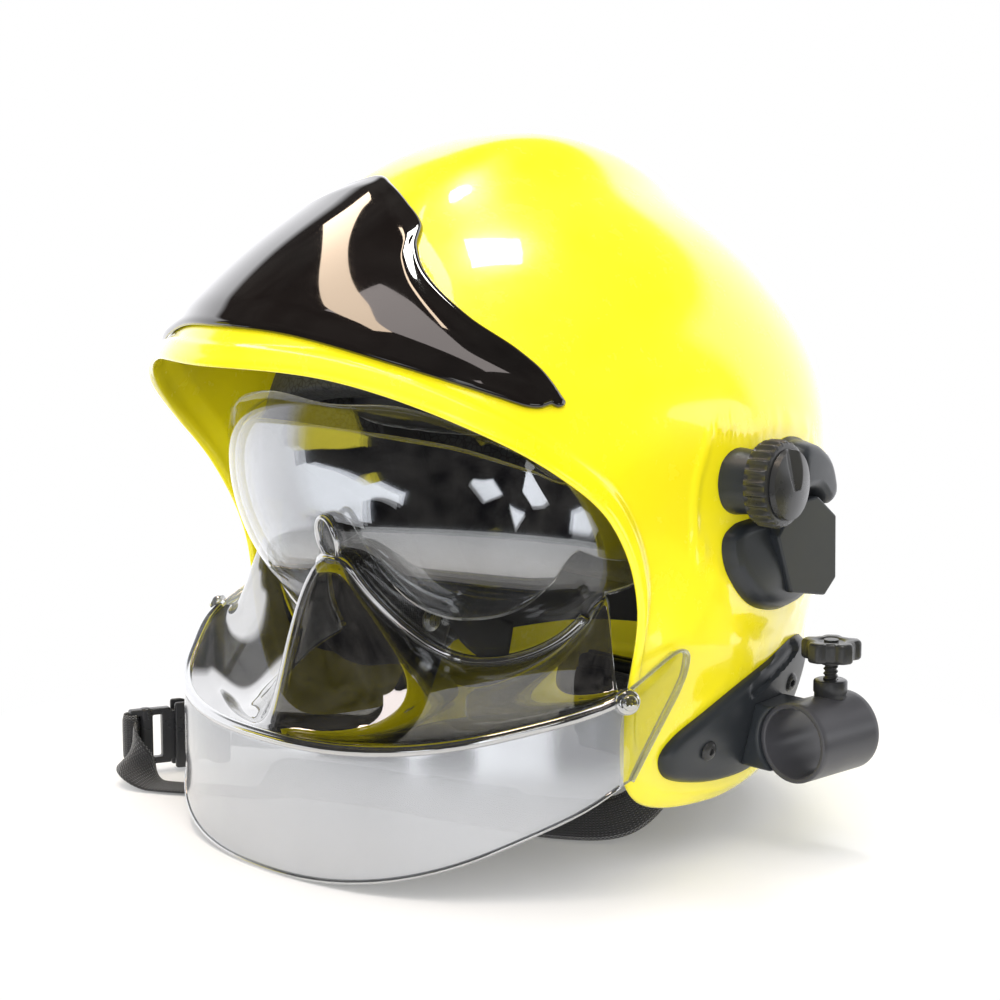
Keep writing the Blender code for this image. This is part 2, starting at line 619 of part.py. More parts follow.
def build_torch_clamp():
    """The tube that holds a torch, with its block on the side plate and its clamping screw."""
    mid_y = (TUBE_Y0 + TUBE_Y1) / 2
    tube = lathe("torch_tube", [(TUBE_RO, TUBE_Y1 - TUBE_Y0), (TUBE_RO, 0), (TUBE_RI, 0), (TUBE_RI, TUBE_Y1 - TUBE_Y0)],
                 (TUBE_X, TUBE_Y0, TUBE_Z), (0, 1, 0), "tube_grey", 64)
    hole = cylinder("cut_tube_screw", (TUBE_X, SCREW_Y, TUBE_Z + 8), (TUBE_X, SCREW_Y, TUBE_Z + 24),
                    SCREW_R + 0.15, "steel", 32, cutter=True)
    cut(tube, hole)
    top = TUBE_Z + TUBE_RO
    lathe("clamp_boss", [(6.4, 6.4), (7.0, 5.8), (7.0, 0.3), (SCREW_R + 0.15, 0.3), (SCREW_R + 0.15, 6.4)],
          (TUBE_X, SCREW_Y, top), (0, 0, 1), "satin_black", 32)
    lathe("clamp_screw", [(0, 27), (SCREW_R, 27), (SCREW_R, 0), (0, 0)],
          (TUBE_X, SCREW_Y, top - 4.0), (0, 0, 1), "satin_black", 32)
    lobes = [(12.4 - 1.9 * math.cos(5 * a) ** 2 - 1.0 * (math.cos(5 * a) > 0.75), a)
             for a in np.linspace(0, 2 * math.pi, 80, endpoint=False)]
    prism("clamp_knob", [[(r * math.cos(a), r * math.sin(a)) for r, a in lobes], circle(SCREW_R + 0.02, 32)], 8.0,
          (TUBE_X, SCREW_Y, top + 18.6), (0, 0, 1), "satin_black")
    lathe("clamp_pad", [(0, 2.0), (4.6, 2.0), (4.6, 0), (0, 0)],
          (TUBE_X, SCREW_Y, top - 6.3), (0, 0, 1), "satin_black", 32)
    # block between the plate and the tube, following the tube's wall
    work_y0, work_y1 = 31.0, 55.0
    ys = np.linspace(work_y0, work_y1, 5)
    zs = np.linspace(TUBE_Z - 13, TUBE_Z + 13, 9)
    y, z = np.meshgrid(ys, zs, indexing="ij")
    inner = shell_x(y, z, 5.6)
    reach = np.sqrt(np.maximum((TUBE_RO + GAP) ** 2 - (z - TUBE_Z) ** 2, 0))
    outer = TUBE_X - reach
    points = np.concatenate([np.stack([g, y, z], -1).reshape(-1, 3) for g in (inner, outer)])
    n, m = y.shape
    faces = []
    for i in range(n - 1):
        for j in range(m - 1):
            a, b = i * m + j, (i + 1) * m + j
            faces += [(a, b, b + 1, a + 1), (n * m + a, n * m + a + 1, n * m + b + 1, n * m + b)]
    rim = ([(i * m, (i + 1) * m) for i in range(n - 1)] + [((n - 1) * m + j, (n - 1) * m + j + 1) for j in range(m - 1)]
           + [((i + 1) * m + m - 1, i * m + m - 1) for i in range(n - 1)] + [(j + 1, j) for j in range(m - 1)])
    faces += [(a, b, n * m + b, n * m + a) for a, b in rim]
    mesh_object("torch_bracket", points, faces, "satin_black", smooth=False)
    return mid_y


# ---------------------------------------------------------------- inside: headband, ratchet, pads
def band_path(angles, inset=0.0):
    a = np.radians(angles)
    x = (84.0 - inset) * np.sin(a)
    y = 30 - (81.0 - inset) * np.cos(a)
    z = 184 - 134 * ease((np.abs(angles) - 60) / 70)
    return np.stack([x, y, z], -1), np.stack([np.sin(a) / 84.0, -np.cos(a) / 81.0, 0 * a], -1)


def build_headgear():
    path, face = band_path(np.linspace(-126, 126, 48))
    ribbon("headband", path, 22, 1.6, "satin_black", face)
    path, face = band_path(np.linspace(-48, 48, 28), 4.4)
    ribbon("brow_pad", path, 28, 6.0, "foam", face)
    a = np.linspace(math.radians(6), math.pi - math.radians(6), 30)
    for name, path, out in (
            ("crown_strap_cross", np.stack([79 * np.cos(a), 34 + 0 * a, 166 + 53 * np.sin(a)], -1),
             np.stack([np.cos(a), 0 * a, np.sin(a)], -1)),
            ("crown_strap_long", np.stack([0 * a, 36 - 74 * np.cos(a), 182 + 29 * np.sin(a)], -1),
             np.stack([0 * a, -np.cos(a), 1.5 * np.sin(a)], -1))):
        ribbon(name, path, 20, 1.4, "webbing", out)
    pad = [(math.cos(t) * 44, math.sin(t) * 52 + 36) for t in np.linspace(0, 2 * math.pi, 28, endpoint=False)]
    points, faces = [], []
    for layer in range(2):
        for k in range(3):
            for x, y in pad:
                x, y = x * (1 - k / 3), 36 + (y - 36) * (1 - k / 3)
                sag = (x / 84) ** 2 + ((y - 36) / 88) ** 2
                thick = (4.5 + 2.0 * ease(k)) if layer else 0.0
                points.append((x, y, 236.5 - 66 * sag - thick))
        points.append((0, 36, 236.5 - (6.5 if layer else 0)))
    count, stack = len(pad), 3 * len(pad) + 1
    for layer in range(2):
        for k in range(2):
            for i in range(count):
                n = (i + 1) % count
                faces.append([layer * stack + v for v in (k * count + i, k * count + n,
                                                          (k + 1) * count + n, (k + 1) * count + i)])
        faces += [[layer * stack + v for v in (2 * count + i, 2 * count + (i + 1) % count, 3 * count)]
                  for i in range(count)]
    faces += [(i, (i + 1) % count, stack + (i + 1) % count, stack + i) for i in range(count)]
    mesh_object("crown_pad", points, faces, "foam")
    cheek = rounded([(-8, 62), (6, 46), (30, 40), (56, 42), (72, 58), (76, 80), (66, 100), (40, 108), (14, 104), (-4, 86)], 3)
    for side, word in ((1, "left"), (-1, "right")):
        side_pad(f"cheek_pad_{word}", cheek, -20.0, -SHELL_T - 3.0, "foam", side, edge_drop=0.0)


def tooth_outline(teeth, module, play=0.16):
    """A spur gear's outline with involute flanks."""
    pitch = teeth * module / 2
    base = pitch * math.cos(math.radians(20))
    tip, root = pitch + 0.9 * module, pitch - 1.2 * module

    def inv(r):
        a = math.acos(min(1.0, base / r))
        return math.tan(a) - a

    half = math.pi / (2 * teeth) - play / (2 * pitch)
    radii = np.linspace(max(base, root), tip, 5)
    out = []
    for n in range(teeth):
        mid = 2 * math.pi * n / teeth
        left = [(r, mid - half - inv(pitch) + inv(r)) for r in radii]
        right = [(r, mid + half + inv(pitch) - inv(r)) for r in radii[::-1]]
        foot = [(root, left[0][1] - 0.02)], [(root, right[-1][1] + 0.02)]
        out += [(r * math.cos(t), r * math.sin(t)) for r, t in foot[0] + left + right + foot[1]]
    return out


def rack_outline(length, body, phase, module=MODULE, play=0.16):
    """A straight rack: teeth up to the pitch line at y = 0, its back below it."""
    step, slope = math.pi * module, math.tan(math.radians(20))
    add, ded = 0.9 * module, 1.25 * module
    half = step / 4 - play / 2
    out = [(-length / 2, -body)]
    first = math.ceil((-length / 2 + 2 - phase) / step)
    last = math.floor((length / 2 - 2 - phase) / step)
    out.append((-length / 2, -ded))
    for n in range(first, last + 1):
        c = n * step + phase
        out += [(c - half - ded * slope, -ded), (c - half + add * slope, add),
                (c + half - add * slope, add), (c + half + ded * slope, -ded)]
    return out + [(length / 2, -ded), (length / 2, -body)]


def build_ratchet():
    """The nape housing with the size ratchet: a knob turns a pinion between two racks."""
    y0, y1 = 100.0, 111.0
    housing = box("nape_housing", (0, (y0 + y1) / 2 - 1.4, 23), (92, y1 - y0 - 2.8, 46), "satin_black", 3.0)
    slot = box("cut_rack_channel", (0, 107.6, RATCHET_Z), (100, 6.4, 20.6), "steel", cutter=True)
    cut(housing, slot)
    cover = prism("nape_cover", [[(-46, -21), (46, -21), (46, 25), (-46, 25)], circle(5.2, 40)], 2.2,
                  (0, y1 - 1.2, RATCHET_Z), (0, 1, 0), "satin_black", spin=0.0)
    y_mid = 106.3
    pitch = MODULE * TEETH / 2
    # the outline's X is turned to point along the helmet's X, and its Y along Z
    frame = Matrix(((1, 0, 0), (0, 0, -1), (0, 1, 0))).to_4x4()
    pinion = prism("ratchet_pinion", [tooth_outline(TEETH, MODULE)], 3.4, (0, 0, 0), None, "satin_black")
    pinion.matrix_world = Matrix.Translation(Vector((0, y_mid, RATCHET_Z)) * MM) @ frame @ Matrix.Rotation(math.pi / 2, 4, "Z")
    for side, word in ((1, "left"), (-1, "right")):
        phase = (RACK_MID + MODULE * math.pi / 2) % (MODULE * math.pi)
        rack = prism(f"rack_{word}", [rack_outline(RACK_LONG, 3.8, phase)], 3.0, (0, 0, 0), None, "webbing")
        turn = Matrix.Rotation(0.0 if side < 0 else math.pi, 4, "Z")
        at = Vector((side * RACK_MID, y_mid, RATCHET_Z + side * pitch)) * MM
        rack.matrix_world = Matrix.Translation(at) @ frame @ turn
    ribs = [(17.0 - (1.3 if (i // 2) % 2 else 0.0), 2 * math.pi * i / 72) for i in range(72)]
    prism("ratchet_knob", [[(r * math.cos(a), r * math.sin(a)) for r, a in ribs]], 12.0,
          (0, 118.2, RATCHET_Z), (0, 1, 0), "satin_black")
    lathe("ratchet_shaft", [(0, 111.9), (4.4, 111.9), (4.4, 108.3), (0, 108.3)], (0, 0, RATCHET_Z), (0, 1, 0), "steel", 32)
    box("nape_pad", (0, 94.6, 25), (84, 10, 38), "foam", 4.0)
    return cover


# ---------------------------------------------------------------- chin strap
BUCKLE_DIR = np.array([0.35, 0.937, 0.0]) / math.hypot(0.35, 0.937)
BUCKLE_SIDE = np.array([-BUCKLE_DIR[1], BUCKLE_DIR[0], 0.0])
BUCKLE_C = np.array([-146.6, -64.6, 17.2])
STRAP_WIDE, STRAP_T, STRAP_Z = 18.0, 1.4, 9.9
BAR = -18.5  # the male half's outer bar, from the buckle's middle


def flat_normals(path):
    t = np.gradient(path, axis=0)
    return np.stack([-t[:, 1], t[:, 0], 0 * t[:, 0]], -1)


def build_straps():
    for side, word in ((1, "left"), (-1, "right")):
        lathe(f"strap_anchor_{word}", [(0, 3.0), (3.2, 2.6), (5.4, 1.2), (5.6, 0.2), (0, 0.2)],
              (side * 87.6, 44, 64), (-side, 0, 0), "steel", 24)
    end = BUCKLE_C + BUCKLE_DIR * 29.6
    right = smooth_path([(-88.8, 52, 66), (-89, 42, 46), (-93, 31, 22), (-104, 22, 10.2), (-120, 8, STRAP_Z),
                         (-131, -12, 12), end + BUCKLE_DIR * 8 + np.array([0, 0, -1.5]), end], 32)
    ribbon("chin_strap_right", right, STRAP_WIDE, STRAP_T, "webbing", flat_normals(right))
    loop_side = BUCKLE_C + BUCKLE_DIR * BAR - BUCKLE_SIDE * 6.4
    left = smooth_path([(88.8, 52, 66), (89, 36, 50), (87, 18, 28), (79, 0, 13), (56, -16, STRAP_Z),
                        (12, -30, STRAP_Z), (-40, -44, STRAP_Z), (-90, -66, STRAP_Z), (-122, -88, 11),
                        loop_side - BUCKLE_SIDE * 12 - BUCKLE_DIR * 1.5 + np.array([0, 0, -2]),
                        loop_side], 48)
    ribbon("chin_strap_left", left, STRAP_WIDE, STRAP_T, "webbing", flat_normals(left))
    cup = smooth_path([(34, -21.5, STRAP_Z), (12, -28.5, STRAP_Z), (-12, -34.5, STRAP_Z)], 12)
    cup = cup + np.array([1.6, 4.6, 0])
    ribbon("chin_cup", cup, 17.0, 5.0, "foam", flat_normals(cup))


def build_buckle():
    """The side-release buckle stands on its edge: its length runs along BUCKLE_DIR."""
    d, n = BUCKLE_DIR, BUCKLE_SIDE
    frame = Matrix(((d[0], 0, n[0]), (d[1], 0, n[1]), (0, 1, 0))).to_4x4()

    def stand(obj, shift):
        obj.matrix_world = Matrix.Translation(Vector(BUCKLE_C + d * shift) * MM) @ frame
        return obj

    body = stand(box("buckle_female", (0, 0, 0), (26.6, 31, 10), "satin_black", 1.6), 13.6)
    cut(body, stand(box("cut_buckle_pocket", (0, 0, 0), (26, 25, 5.4), "steel", cutter=True), 7.0))
    cut(body, stand(box("cut_buckle_windows", (0, 0, 0), (8, 40, 5.4), "steel", cutter=True), 11.0))
    half = [(BAR - 1.5, 13), (-1.0, 13), (-1.0, 11.4), (7.6, 11.9), (8.6, 12.2), (14.2, 10.4), (15.4, 8.2),
            (5, 7.8), (1.5, 6.2), (1.5, 2.2), (15.6, 1.7)]
    outline = [(x, -y) for x, y in half] + half[::-1]
    slots = [[(x0, -10), (x0 + 4.6, -10), (x0 + 4.6, 10), (x0, 10)] for x0 in (BAR + 1.5, BAR + 9)]
    stand(prism("buckle_male", [outline, *slots], 4.6, (0, 0, 0), None, "satin_black"), 0.0)
    # the webbing loop round the outer bar of the male half
    turn = np.linspace(math.radians(12), math.radians(285), 20)
    loop = (BUCKLE_C + d * (BAR + 3.9 * np.cos(turn))[:, None] + n * (3.9 * np.sin(turn))[:, None])
    ribbon("webbing_loop", loop, STRAP_WIDE, STRAP_T, "webbing", loop - (BUCKLE_C + d * BAR))


def build_studs():
    for side, word in ((1, "left"), (-1, "right")):
        turn = side * 24.0
        spot = shell_point(np.array([turn]), np.array([0.93]), -SHELL_T)[0]
        normal = spot - shell_point(np.array([turn]), np.array([0.93]), -SHELL_T - 5)[0]
        normal /= -np.linalg.norm(normal)
        lathe(f"brim_stud_{word}", [(0, 5.4), (2.4, 5.2), (4.0, 3.8), (4.6, 1.9), (0, 1.9)],
              spot, normal, "clear", 24)


clear_scene()
HELMET = make_collection("firefighter_helmet")
CUTTERS = make_collection("cutters", hidden=True)
build_shell()
build_front_plate()
build_studs()
build_liner()
build_face_shield()
build_ocular_visor()
build_pivots()
build_side_bracket()
build_side_plates()
build_torch_clamp()
build_headgear()
build_ratchet()
build_straps()
build_buckle()
bpy.context.view_layer.update()
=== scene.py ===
"""The looks of the firefighter's helmet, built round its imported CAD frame.

Sizes are in millimetres and MM turns them into metres. +Z is up, -Y is the wearer's front and +X is
the wearer's left, as in the CAD.
"""

import math

import bmesh
import bpy
import numpy as np
from mathutils import Matrix, Vector


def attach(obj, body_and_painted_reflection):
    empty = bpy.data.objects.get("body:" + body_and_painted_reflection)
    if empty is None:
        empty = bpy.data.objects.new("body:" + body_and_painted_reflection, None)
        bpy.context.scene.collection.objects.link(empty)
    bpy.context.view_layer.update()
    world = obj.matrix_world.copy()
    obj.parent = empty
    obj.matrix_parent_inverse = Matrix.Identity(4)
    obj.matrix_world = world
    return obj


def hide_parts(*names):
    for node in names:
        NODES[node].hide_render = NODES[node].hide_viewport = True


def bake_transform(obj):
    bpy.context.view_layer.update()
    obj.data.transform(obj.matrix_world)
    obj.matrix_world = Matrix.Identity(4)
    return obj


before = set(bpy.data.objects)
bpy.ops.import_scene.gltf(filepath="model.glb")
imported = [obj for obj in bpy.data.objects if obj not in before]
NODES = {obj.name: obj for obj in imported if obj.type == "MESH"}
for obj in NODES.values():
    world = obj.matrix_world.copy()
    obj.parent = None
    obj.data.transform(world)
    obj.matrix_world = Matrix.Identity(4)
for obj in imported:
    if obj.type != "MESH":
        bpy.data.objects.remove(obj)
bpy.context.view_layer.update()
MM = 0.001

# ---- shell
SHELL_C = np.array([0.0, 9.4, 151.8])
TILT = math.radians(25.4)
HALF_WIDTH, FRONT, REAR, TOP, DOWN = 128.4, 142.5, 145.6, 124.3, 234.0
ROUND_POWER = 2.08
POLE = np.array([0.0, math.sin(TILT), math.cos(TILT)])
AHEAD = np.array([0.0, -math.cos(TILT), math.sin(TILT)])
SHELL_T = 4.0
EDGE = [(0, 97.5), (20, 96), (38, 97), (54, 99.5), (66, 104), (78, 115), (87, 131), (95, 137.5),
        (106, 138.5), (122, 132), (139, 121), (158, 111), (180, 108)]
COMB = [(0, 0), (30, 1.6), (50, 4.2), (70, 12.5), (90, 17.2), (105, 15.6), (120, 11.4), (135, 5.2),
        (150, 0), (170, 0), (180, 0)]
COMB_W = 35.4
FLARE = [(0, 30), (20, 20.8), (40, 15.6), (60, 10.4), (85, 0), (180, 0)]
LIP_H, LIP_IN = 1.9, 10.0
PLATE_TOP = [(0, 55), (5, 57), (12.6, 61.2), (18.1, 65.2), (19.9, 69.6), (24.7, 75.2), (33.7, 80.4),
             (42.6, 83.2), (49.3, 86.2), (50.9, 88)]
PLATE_LOW = [(0, 91.6), (12.6, 91.2), (27.6, 91.6), (42.3, 91.6), (48, 91.2), (50.9, 89.6)]
PLATE_END = 51.6

# ---- visors
PIVOT = np.array([0.0, 2.0, 158.0])
HUB_R = 23.7
FS_HALF, FS_R, FS_POWER, FS_T = 118.0, 97.0, 2.6, 2.4
FS_TOP = [(0, 16.5), (40, 18), (68, 16), (90, 12), (104, 4)]
FS_LOW = [(0, -21.5), (8, -22.5), (15, -30), (23, -39), (30, -47), (39, -53), (52, -55), (70, -55),
          (86, -53.5), (95, -51), (104, -47)]
RIM_HALF, RIM_DEEP, RIM_POWER, RIM_C_Y, NOTCH_Y, NOTCH_OUT = 128.0, 135.0, 2.3, 9.4, -50.0, 5.2
OV_HALF, OV_R, OV_T = 112.0, 91.5, 2.0
OV_TOP = [(0, 11), (40, 11), (68, 10), (90, 6), (99, 2)]
OV_LOW = [(0, -11), (9, -13), (17, -23), (26, -34), (38, -40), (55, -42), (75, -41), (90, -35), (99, -27)]

# ---- liner, torch clamp, ratchet, strap
LINER = dict(half=104.0, front=83.0, rear=143.0, up_front=84.0, up=101.0, down=150.0, thick=15.0)
LINER_EDGE = [(0, 93), (40, 96), (70, 101), (90, 104), (120, 103), (150, 100), (180, 98)]
TUBE_X, TUBE_Z, TUBE_Y0, TUBE_Y1 = 141.0, 49.0, 33.0, 69.0
TUBE_RO, TUBE_RI = 16.5, 14.3
SCREW_Y, SCREW_R, THREAD = 57.0, 3.0, 2.0
STUD_TURN, STUD_ALONG = 24.0, 0.93
BAND_HALF, BAND_DEEP = 84.0, 81.0
BUCKLE_DIR = np.array([0.35, 0.937, 0.0]) / math.hypot(0.35, 0.937)
BUCKLE_SIDE = np.array([-BUCKLE_DIR[1], BUCKLE_DIR[0], 0.0])
BUCKLE_C = np.array([-146.6, -64.6, 17.2])
STRAP_WIDE, STRAP_T = 18.0, 1.4
STRAP_Z, STRAP_FLAT_Z, STRAP_LOW = 9.9, 0.95, 0.9  # heights on edge and lying flat, and the least clearance
BAR = -18.5

LEDGE_START = 0.84  # the outer share of the shield's shelf that stays flat
SHIELD_FINE = 5  # how finely the shield's patches are divided

# ---- studio (the floor's radius and the lights' aim are in metres)
FLOOR_R = 0.32
LIGHT_AIM = (0.0, 0.0, 0.14)
CAMERA_TURN, CAMERA_RISE, CAMERA_FAR = 46.0, 9.0, 1040.0
CAMERA_AIM, CAMERA_SIDE = np.array([0.0, 9.4, 135.2]), -3.1
LENS_MM, SENSOR_MM = 86.4, 36.0


# ================================================================ materials
def add(tree, kind, inputs=None, **settings):
    """A new node, with its settings, and its inputs either set or linked."""
    made = tree.nodes.new(kind)
    for key, value in settings.items():
        setattr(made, key, value)
    for key, value in (inputs or {}).items():
        if isinstance(value, bpy.types.NodeSocket):
            tree.links.new(value, made.inputs[key])
        else:
            made.inputs[key].default_value = value
    return made


def wire(tree, shader, **values):
    """Links values to the shader's sockets; _ stands for the space in a socket's name."""
    for socket, value in values.items():
        tree.links.new(value, shader.inputs[socket.replace("_", " ")])


def maths(tree, operation, *values):
    return add(tree, "ShaderNodeMath", dict(enumerate(values)), operation=operation).outputs[0]


def mix_shaders(tree, factor, first, second):
    return add(tree, "ShaderNodeMixShader", {"Fac": factor, 1: first, 2: second}).outputs[0]


def surface(tree, result):
    tree.links.new(result, tree.nodes["Material Output"].inputs["Surface"])


def unshaded(name):
    """A material with no shader in it yet."""
    mat = bpy.data.materials.new(name)
    mat.use_nodes = True
    mat.node_tree.nodes.remove(mat.node_tree.nodes["Principled BSDF"])
    return mat, mat.node_tree


def blank(name, colour=(0.5, 0.5, 0.5), rough=0.5, metal=0.0, coat=0.0, coat_rough=0.03, sheen=0.0):
    mat = bpy.data.materials.new(name)
    mat.use_nodes = True
    shader = mat.node_tree.nodes["Principled BSDF"]
    for socket, value in (("Base Color", (*colour, 1.0)), ("Roughness", rough), ("Metallic", metal),
                          ("Coat Weight", coat), ("Coat Roughness", coat_rough), ("Sheen Weight", sheen)):
        shader.inputs[socket].default_value = value
    mat.diffuse_color = (*colour, 1.0)
    return mat, mat.node_tree, shader


def noise(tree, where, scale, detail=3.0, rough=0.5, stretch=None):
    if stretch:
        where = add(tree, "ShaderNodeMapping", {"Vector": where, "Scale": stretch}).outputs[0]
    return add(tree, "ShaderNodeTexNoise", {"Vector": where, "Scale": scale, "Detail": detail,
                                            "Roughness": rough}).outputs["Fac"]


def spread(tree, value, low, high, start=0.3, end=0.7):
    return add(tree, "ShaderNodeMapRange", {"Value": value, "From Min": start, "From Max": end,
                                            "To Min": low, "To Max": high}).outputs[0]


def two_tone(tree, factor, first, second):
    """A blend of two colours, each a plain colour or another node's."""
    first, second = (v if isinstance(v, bpy.types.NodeSocket) else (*v, 1.0) for v in (first, second))
    return add(tree, "ShaderNodeMix", {0: factor, 6: first, 7: second}, data_type="RGBA").outputs[2]


def bump(tree, height, depth_mm, strength=1.0, under=None):
    made = add(tree, "ShaderNodeBump", {"Height": height, "Distance": depth_mm * MM, "Strength": strength})
    if under is not None:
        tree.links.new(under, made.inputs["Normal"])
    return made.outputs[0]


def here(tree):
    return add(tree, "ShaderNodeTexCoord").outputs["Object"]


def moulded(name, dark, light, rough, grain_mm=0.35, depth_mm=0.012, rub=0.06):
    """Moulded or painted plastic: slow colour drift, fine grain, and rubbed patches where it is smoother."""
    mat, tree, shader = blank(name, light, rough)
    where = here(tree)
    drift = spread(tree, noise(tree, where, 14.0, 4.0), 0, 1)
    handled = noise(tree, where, 55.0, 5.0, 0.65)
    grain = noise(tree, where, 1 / (grain_mm * MM), 2.0)
    wire(tree, shader, Base_Color=two_tone(tree, drift, dark, light),
         Roughness=spread(tree, handled, rough - rub, rough + rub), Normal=bump(tree, grain, depth_mm))
    return mat


def yellow_paint():
    """Fluorescent gloss paint: an even colour, a faint orange peel under a clear coat, fine dust, and a faint
    painted glow.
    """
    mat, tree, shader = blank("shell_paint_with_painted_glow", (1.0, 0.86, 0.012), 0.24, coat=1.0, coat_rough=0.035)
    where = here(tree)
    drift = spread(tree, noise(tree, where, 9.0, 3.0), 0, 1)
    peel = noise(tree, where, 420.0, 1.0)
    wire(tree, shader, Base_Color=two_tone(tree, drift, (1.0, 0.845, 0.008), (1.0, 0.885, 0.018)),
         Roughness=spread(tree, noise(tree, where, 70.0, 5.0, 0.7), 0.2, 0.3),
         Normal=bump(tree, noise(tree, where, 60.0, 1.0), 0.05, 1.0, bump(tree, peel, 0.010)),
         Coat_Normal=bump(tree, peel, 0.006))
    # Painted glow: a faint yellow emission makes the paint shine by itself, though it is no lamp.
    shader.inputs["Emission Color"].default_value = (1.0, 0.87, 0.01, 1.0)
    shader.inputs["Emission Strength"].default_value = 0.06
    return mat


def piano_black():
    """The mirror-gloss front plate: black, lightly swirled by polishing, and very slightly wavy."""
    mat, tree, shader = blank("plate_gloss", (0.006, 0.005, 0.005), 0.05, coat=1.0, coat_rough=0.015)
    where = here(tree)
    swirl = noise(tree, where, 160.0, 6.0, 0.7, (1.0, 6.0, 1.0))
    wire(tree, shader, Roughness=spread(tree, swirl, 0.02, 0.075),
         Base_Color=two_tone(tree, noise(tree, where, 18.0), (0.004, 0.004, 0.004), (0.010, 0.007, 0.006)),
         Normal=bump(tree, noise(tree, where, 45.0, 1.0), 0.012))
    return mat


def clear_plastic(name, tint, mirror, gloss_rough, body_and_painted_reflection=0.0, body_and_painted_reflection_tone=(0.6, 0.61, 0.63), brushed=False):
    """A thin clear wall: see-through, with a mirror that grows at grazing angles, and a diffuse body; on the
    shield's band that grey body partly stands in for the pale floor's reflection, a painted reflection.
    """
    mat, tree = unshaded(name)
    where = here(tree)
    scale, depth, stretch = (900.0, 0.010, (1.0, 1.0, 0.06)) if brushed else (260.0, 0.002, (1.0, 1.0, 1.0))
    fine = noise(tree, where, scale, 4.0, 0.6, stretch)
    normal = bump(tree, fine, depth, 1.0, bump(tree, noise(tree, where, 22.0, 1.0), 0.10))
    haze = spread(tree, noise(tree, where, 30.0, 4.0), 0.0, 1.0)
    tone = two_tone(tree, haze, tint, tuple(0.94 * v for v in tint))
    base = add(tree, "ShaderNodeBsdfTransparent", {"Color": tone}).outputs[0]
    gloss = add(tree, "ShaderNodeBsdfGlossy",
                {"Color": (1, 1, 1, 1), "Roughness": gloss_rough, "Normal": normal})
    turned_away = add(tree, "ShaderNodeLayerWeight", {"Blend": 0.5, "Normal": normal}).outputs["Facing"]
    factor = spread(tree, maths(tree, "POWER", turned_away, 4.0), mirror, 1.0, 0.0, 1.0)
    # The diffuse body: on the shield's band its grey is partly painted reflection of the pale floor; on the
    # cut edges and studs it is the plastic's own milky body.
    if body_and_painted_reflection:
        tone = two_tone(tree, fine, tuple(0.8 * v for v in body_and_painted_reflection_tone), body_and_painted_reflection_tone)
        soft = add(tree, "ShaderNodeBsdfDiffuse", {"Normal": normal, "Color": tone})
        share = spread(tree, noise(tree, where, 14.0, 3.0), body_and_painted_reflection * 0.8, body_and_painted_reflection * 1.2)
        base = mix_shaders(tree, share, base, soft.outputs[0])
    surface(tree, mix_shaders(tree, factor, base, gloss.outputs[0]))
    return mat


def woven(name, dark, light, pitch_mm=1.5, across_mm=1.1):
    """Webbing: warp ribs along it crossed by weft, from the strap's own length and width in metres."""
    mat, tree, shader = blank(name, light, 0.78, sheen=0.35)
    uv = add(tree, "ShaderNodeUVMap", uv_map="length").outputs[0]
    parts = add(tree, "ShaderNodeSeparateXYZ", {"Vector": uv})

    def wave(value, pitch):
        return maths(tree, "SINE", maths(tree, "MULTIPLY_ADD", value, 2 * math.pi / (pitch * MM), 0.0))

    along, side = wave(parts.outputs[0], pitch_mm), wave(parts.outputs[1], across_mm)
    ribs = maths(tree, "MULTIPLY_ADD", side, 0.6, maths(tree, "MULTIPLY", along, side))
    fuzz = noise(tree, here(tree), 2600.0, 3.0)
    wire(tree, shader, Base_Color=two_tone(tree, spread(tree, ribs, 0, 1, -1.0, 1.2), dark, light),
         Normal=bump(tree, ribs, 0.16, 0.9, bump(tree, fuzz, 0.03)), Roughness=spread(tree, fuzz, 0.68, 0.9))
    return mat


KNIT_CELL = 1.1


def knitted(name, dark, light):
    """Spacer fabric over foam: round knitted cells with darker holes, and a soft fuzz."""
    mat, tree, shader = blank(name, light, 0.88, sheen=0.5)
    where = here(tree)
    cells = add(tree, "ShaderNodeTexVoronoi",
                {"Vector": where, "Scale": 1 / (KNIT_CELL * MM), "Randomness": 0.35})
    gap = spread(tree, cells.outputs["Distance"], 1, 0, 0.25, 0.62)
    fuzz = noise(tree, where, 1800.0, 3.0)
    wire(tree, shader, Base_Color=two_tone(tree, gap, dark, light), Roughness=spread(tree, fuzz, 0.78, 0.95),
         Normal=bump(tree, gap, 0.22, 0.8, bump(tree, fuzz, 0.06)))
    return mat


def beaded_foam(name):
    """Moulded shock foam: closed beads pressed together, with a matt skin."""
    mat, tree, shader = blank(name, (0.05, 0.05, 0.055), 0.75)
    where = here(tree)
    beads = add(tree, "ShaderNodeTexVoronoi", {"Vector": where, "Scale": 330.0}, feature="DISTANCE_TO_EDGE")
    seam = spread(tree, beads.outputs["Distance"], 0, 1, 0.0, 0.12)
    wire(tree, shader, Base_Color=two_tone(tree, seam, (0.018, 0.018, 0.02), (0.055, 0.056, 0.06)),
         Roughness=spread(tree, noise(tree, where, 90.0, 4.0), 0.66, 0.84),
         Normal=bump(tree, seam, 0.12, 0.7))
    return mat


def turned_steel(name):
    """Plated steel with fine turning marks."""
    mat, tree, shader = blank(name, (0.6, 0.61, 0.63), 0.28, metal=1.0)
    where = here(tree)
    marks = noise(tree, where, 1500.0, 3.0, 0.6, (1.0, 1.0, 0.15))
    wire(tree, shader, Roughness=spread(tree, marks, 0.2, 0.38), Normal=bump(tree, marks, 0.004),
         Base_Color=two_tone(tree, noise(tree, where, 120.0), (0.5, 0.51, 0.53), (0.68, 0.69, 0.7)))
    return mat


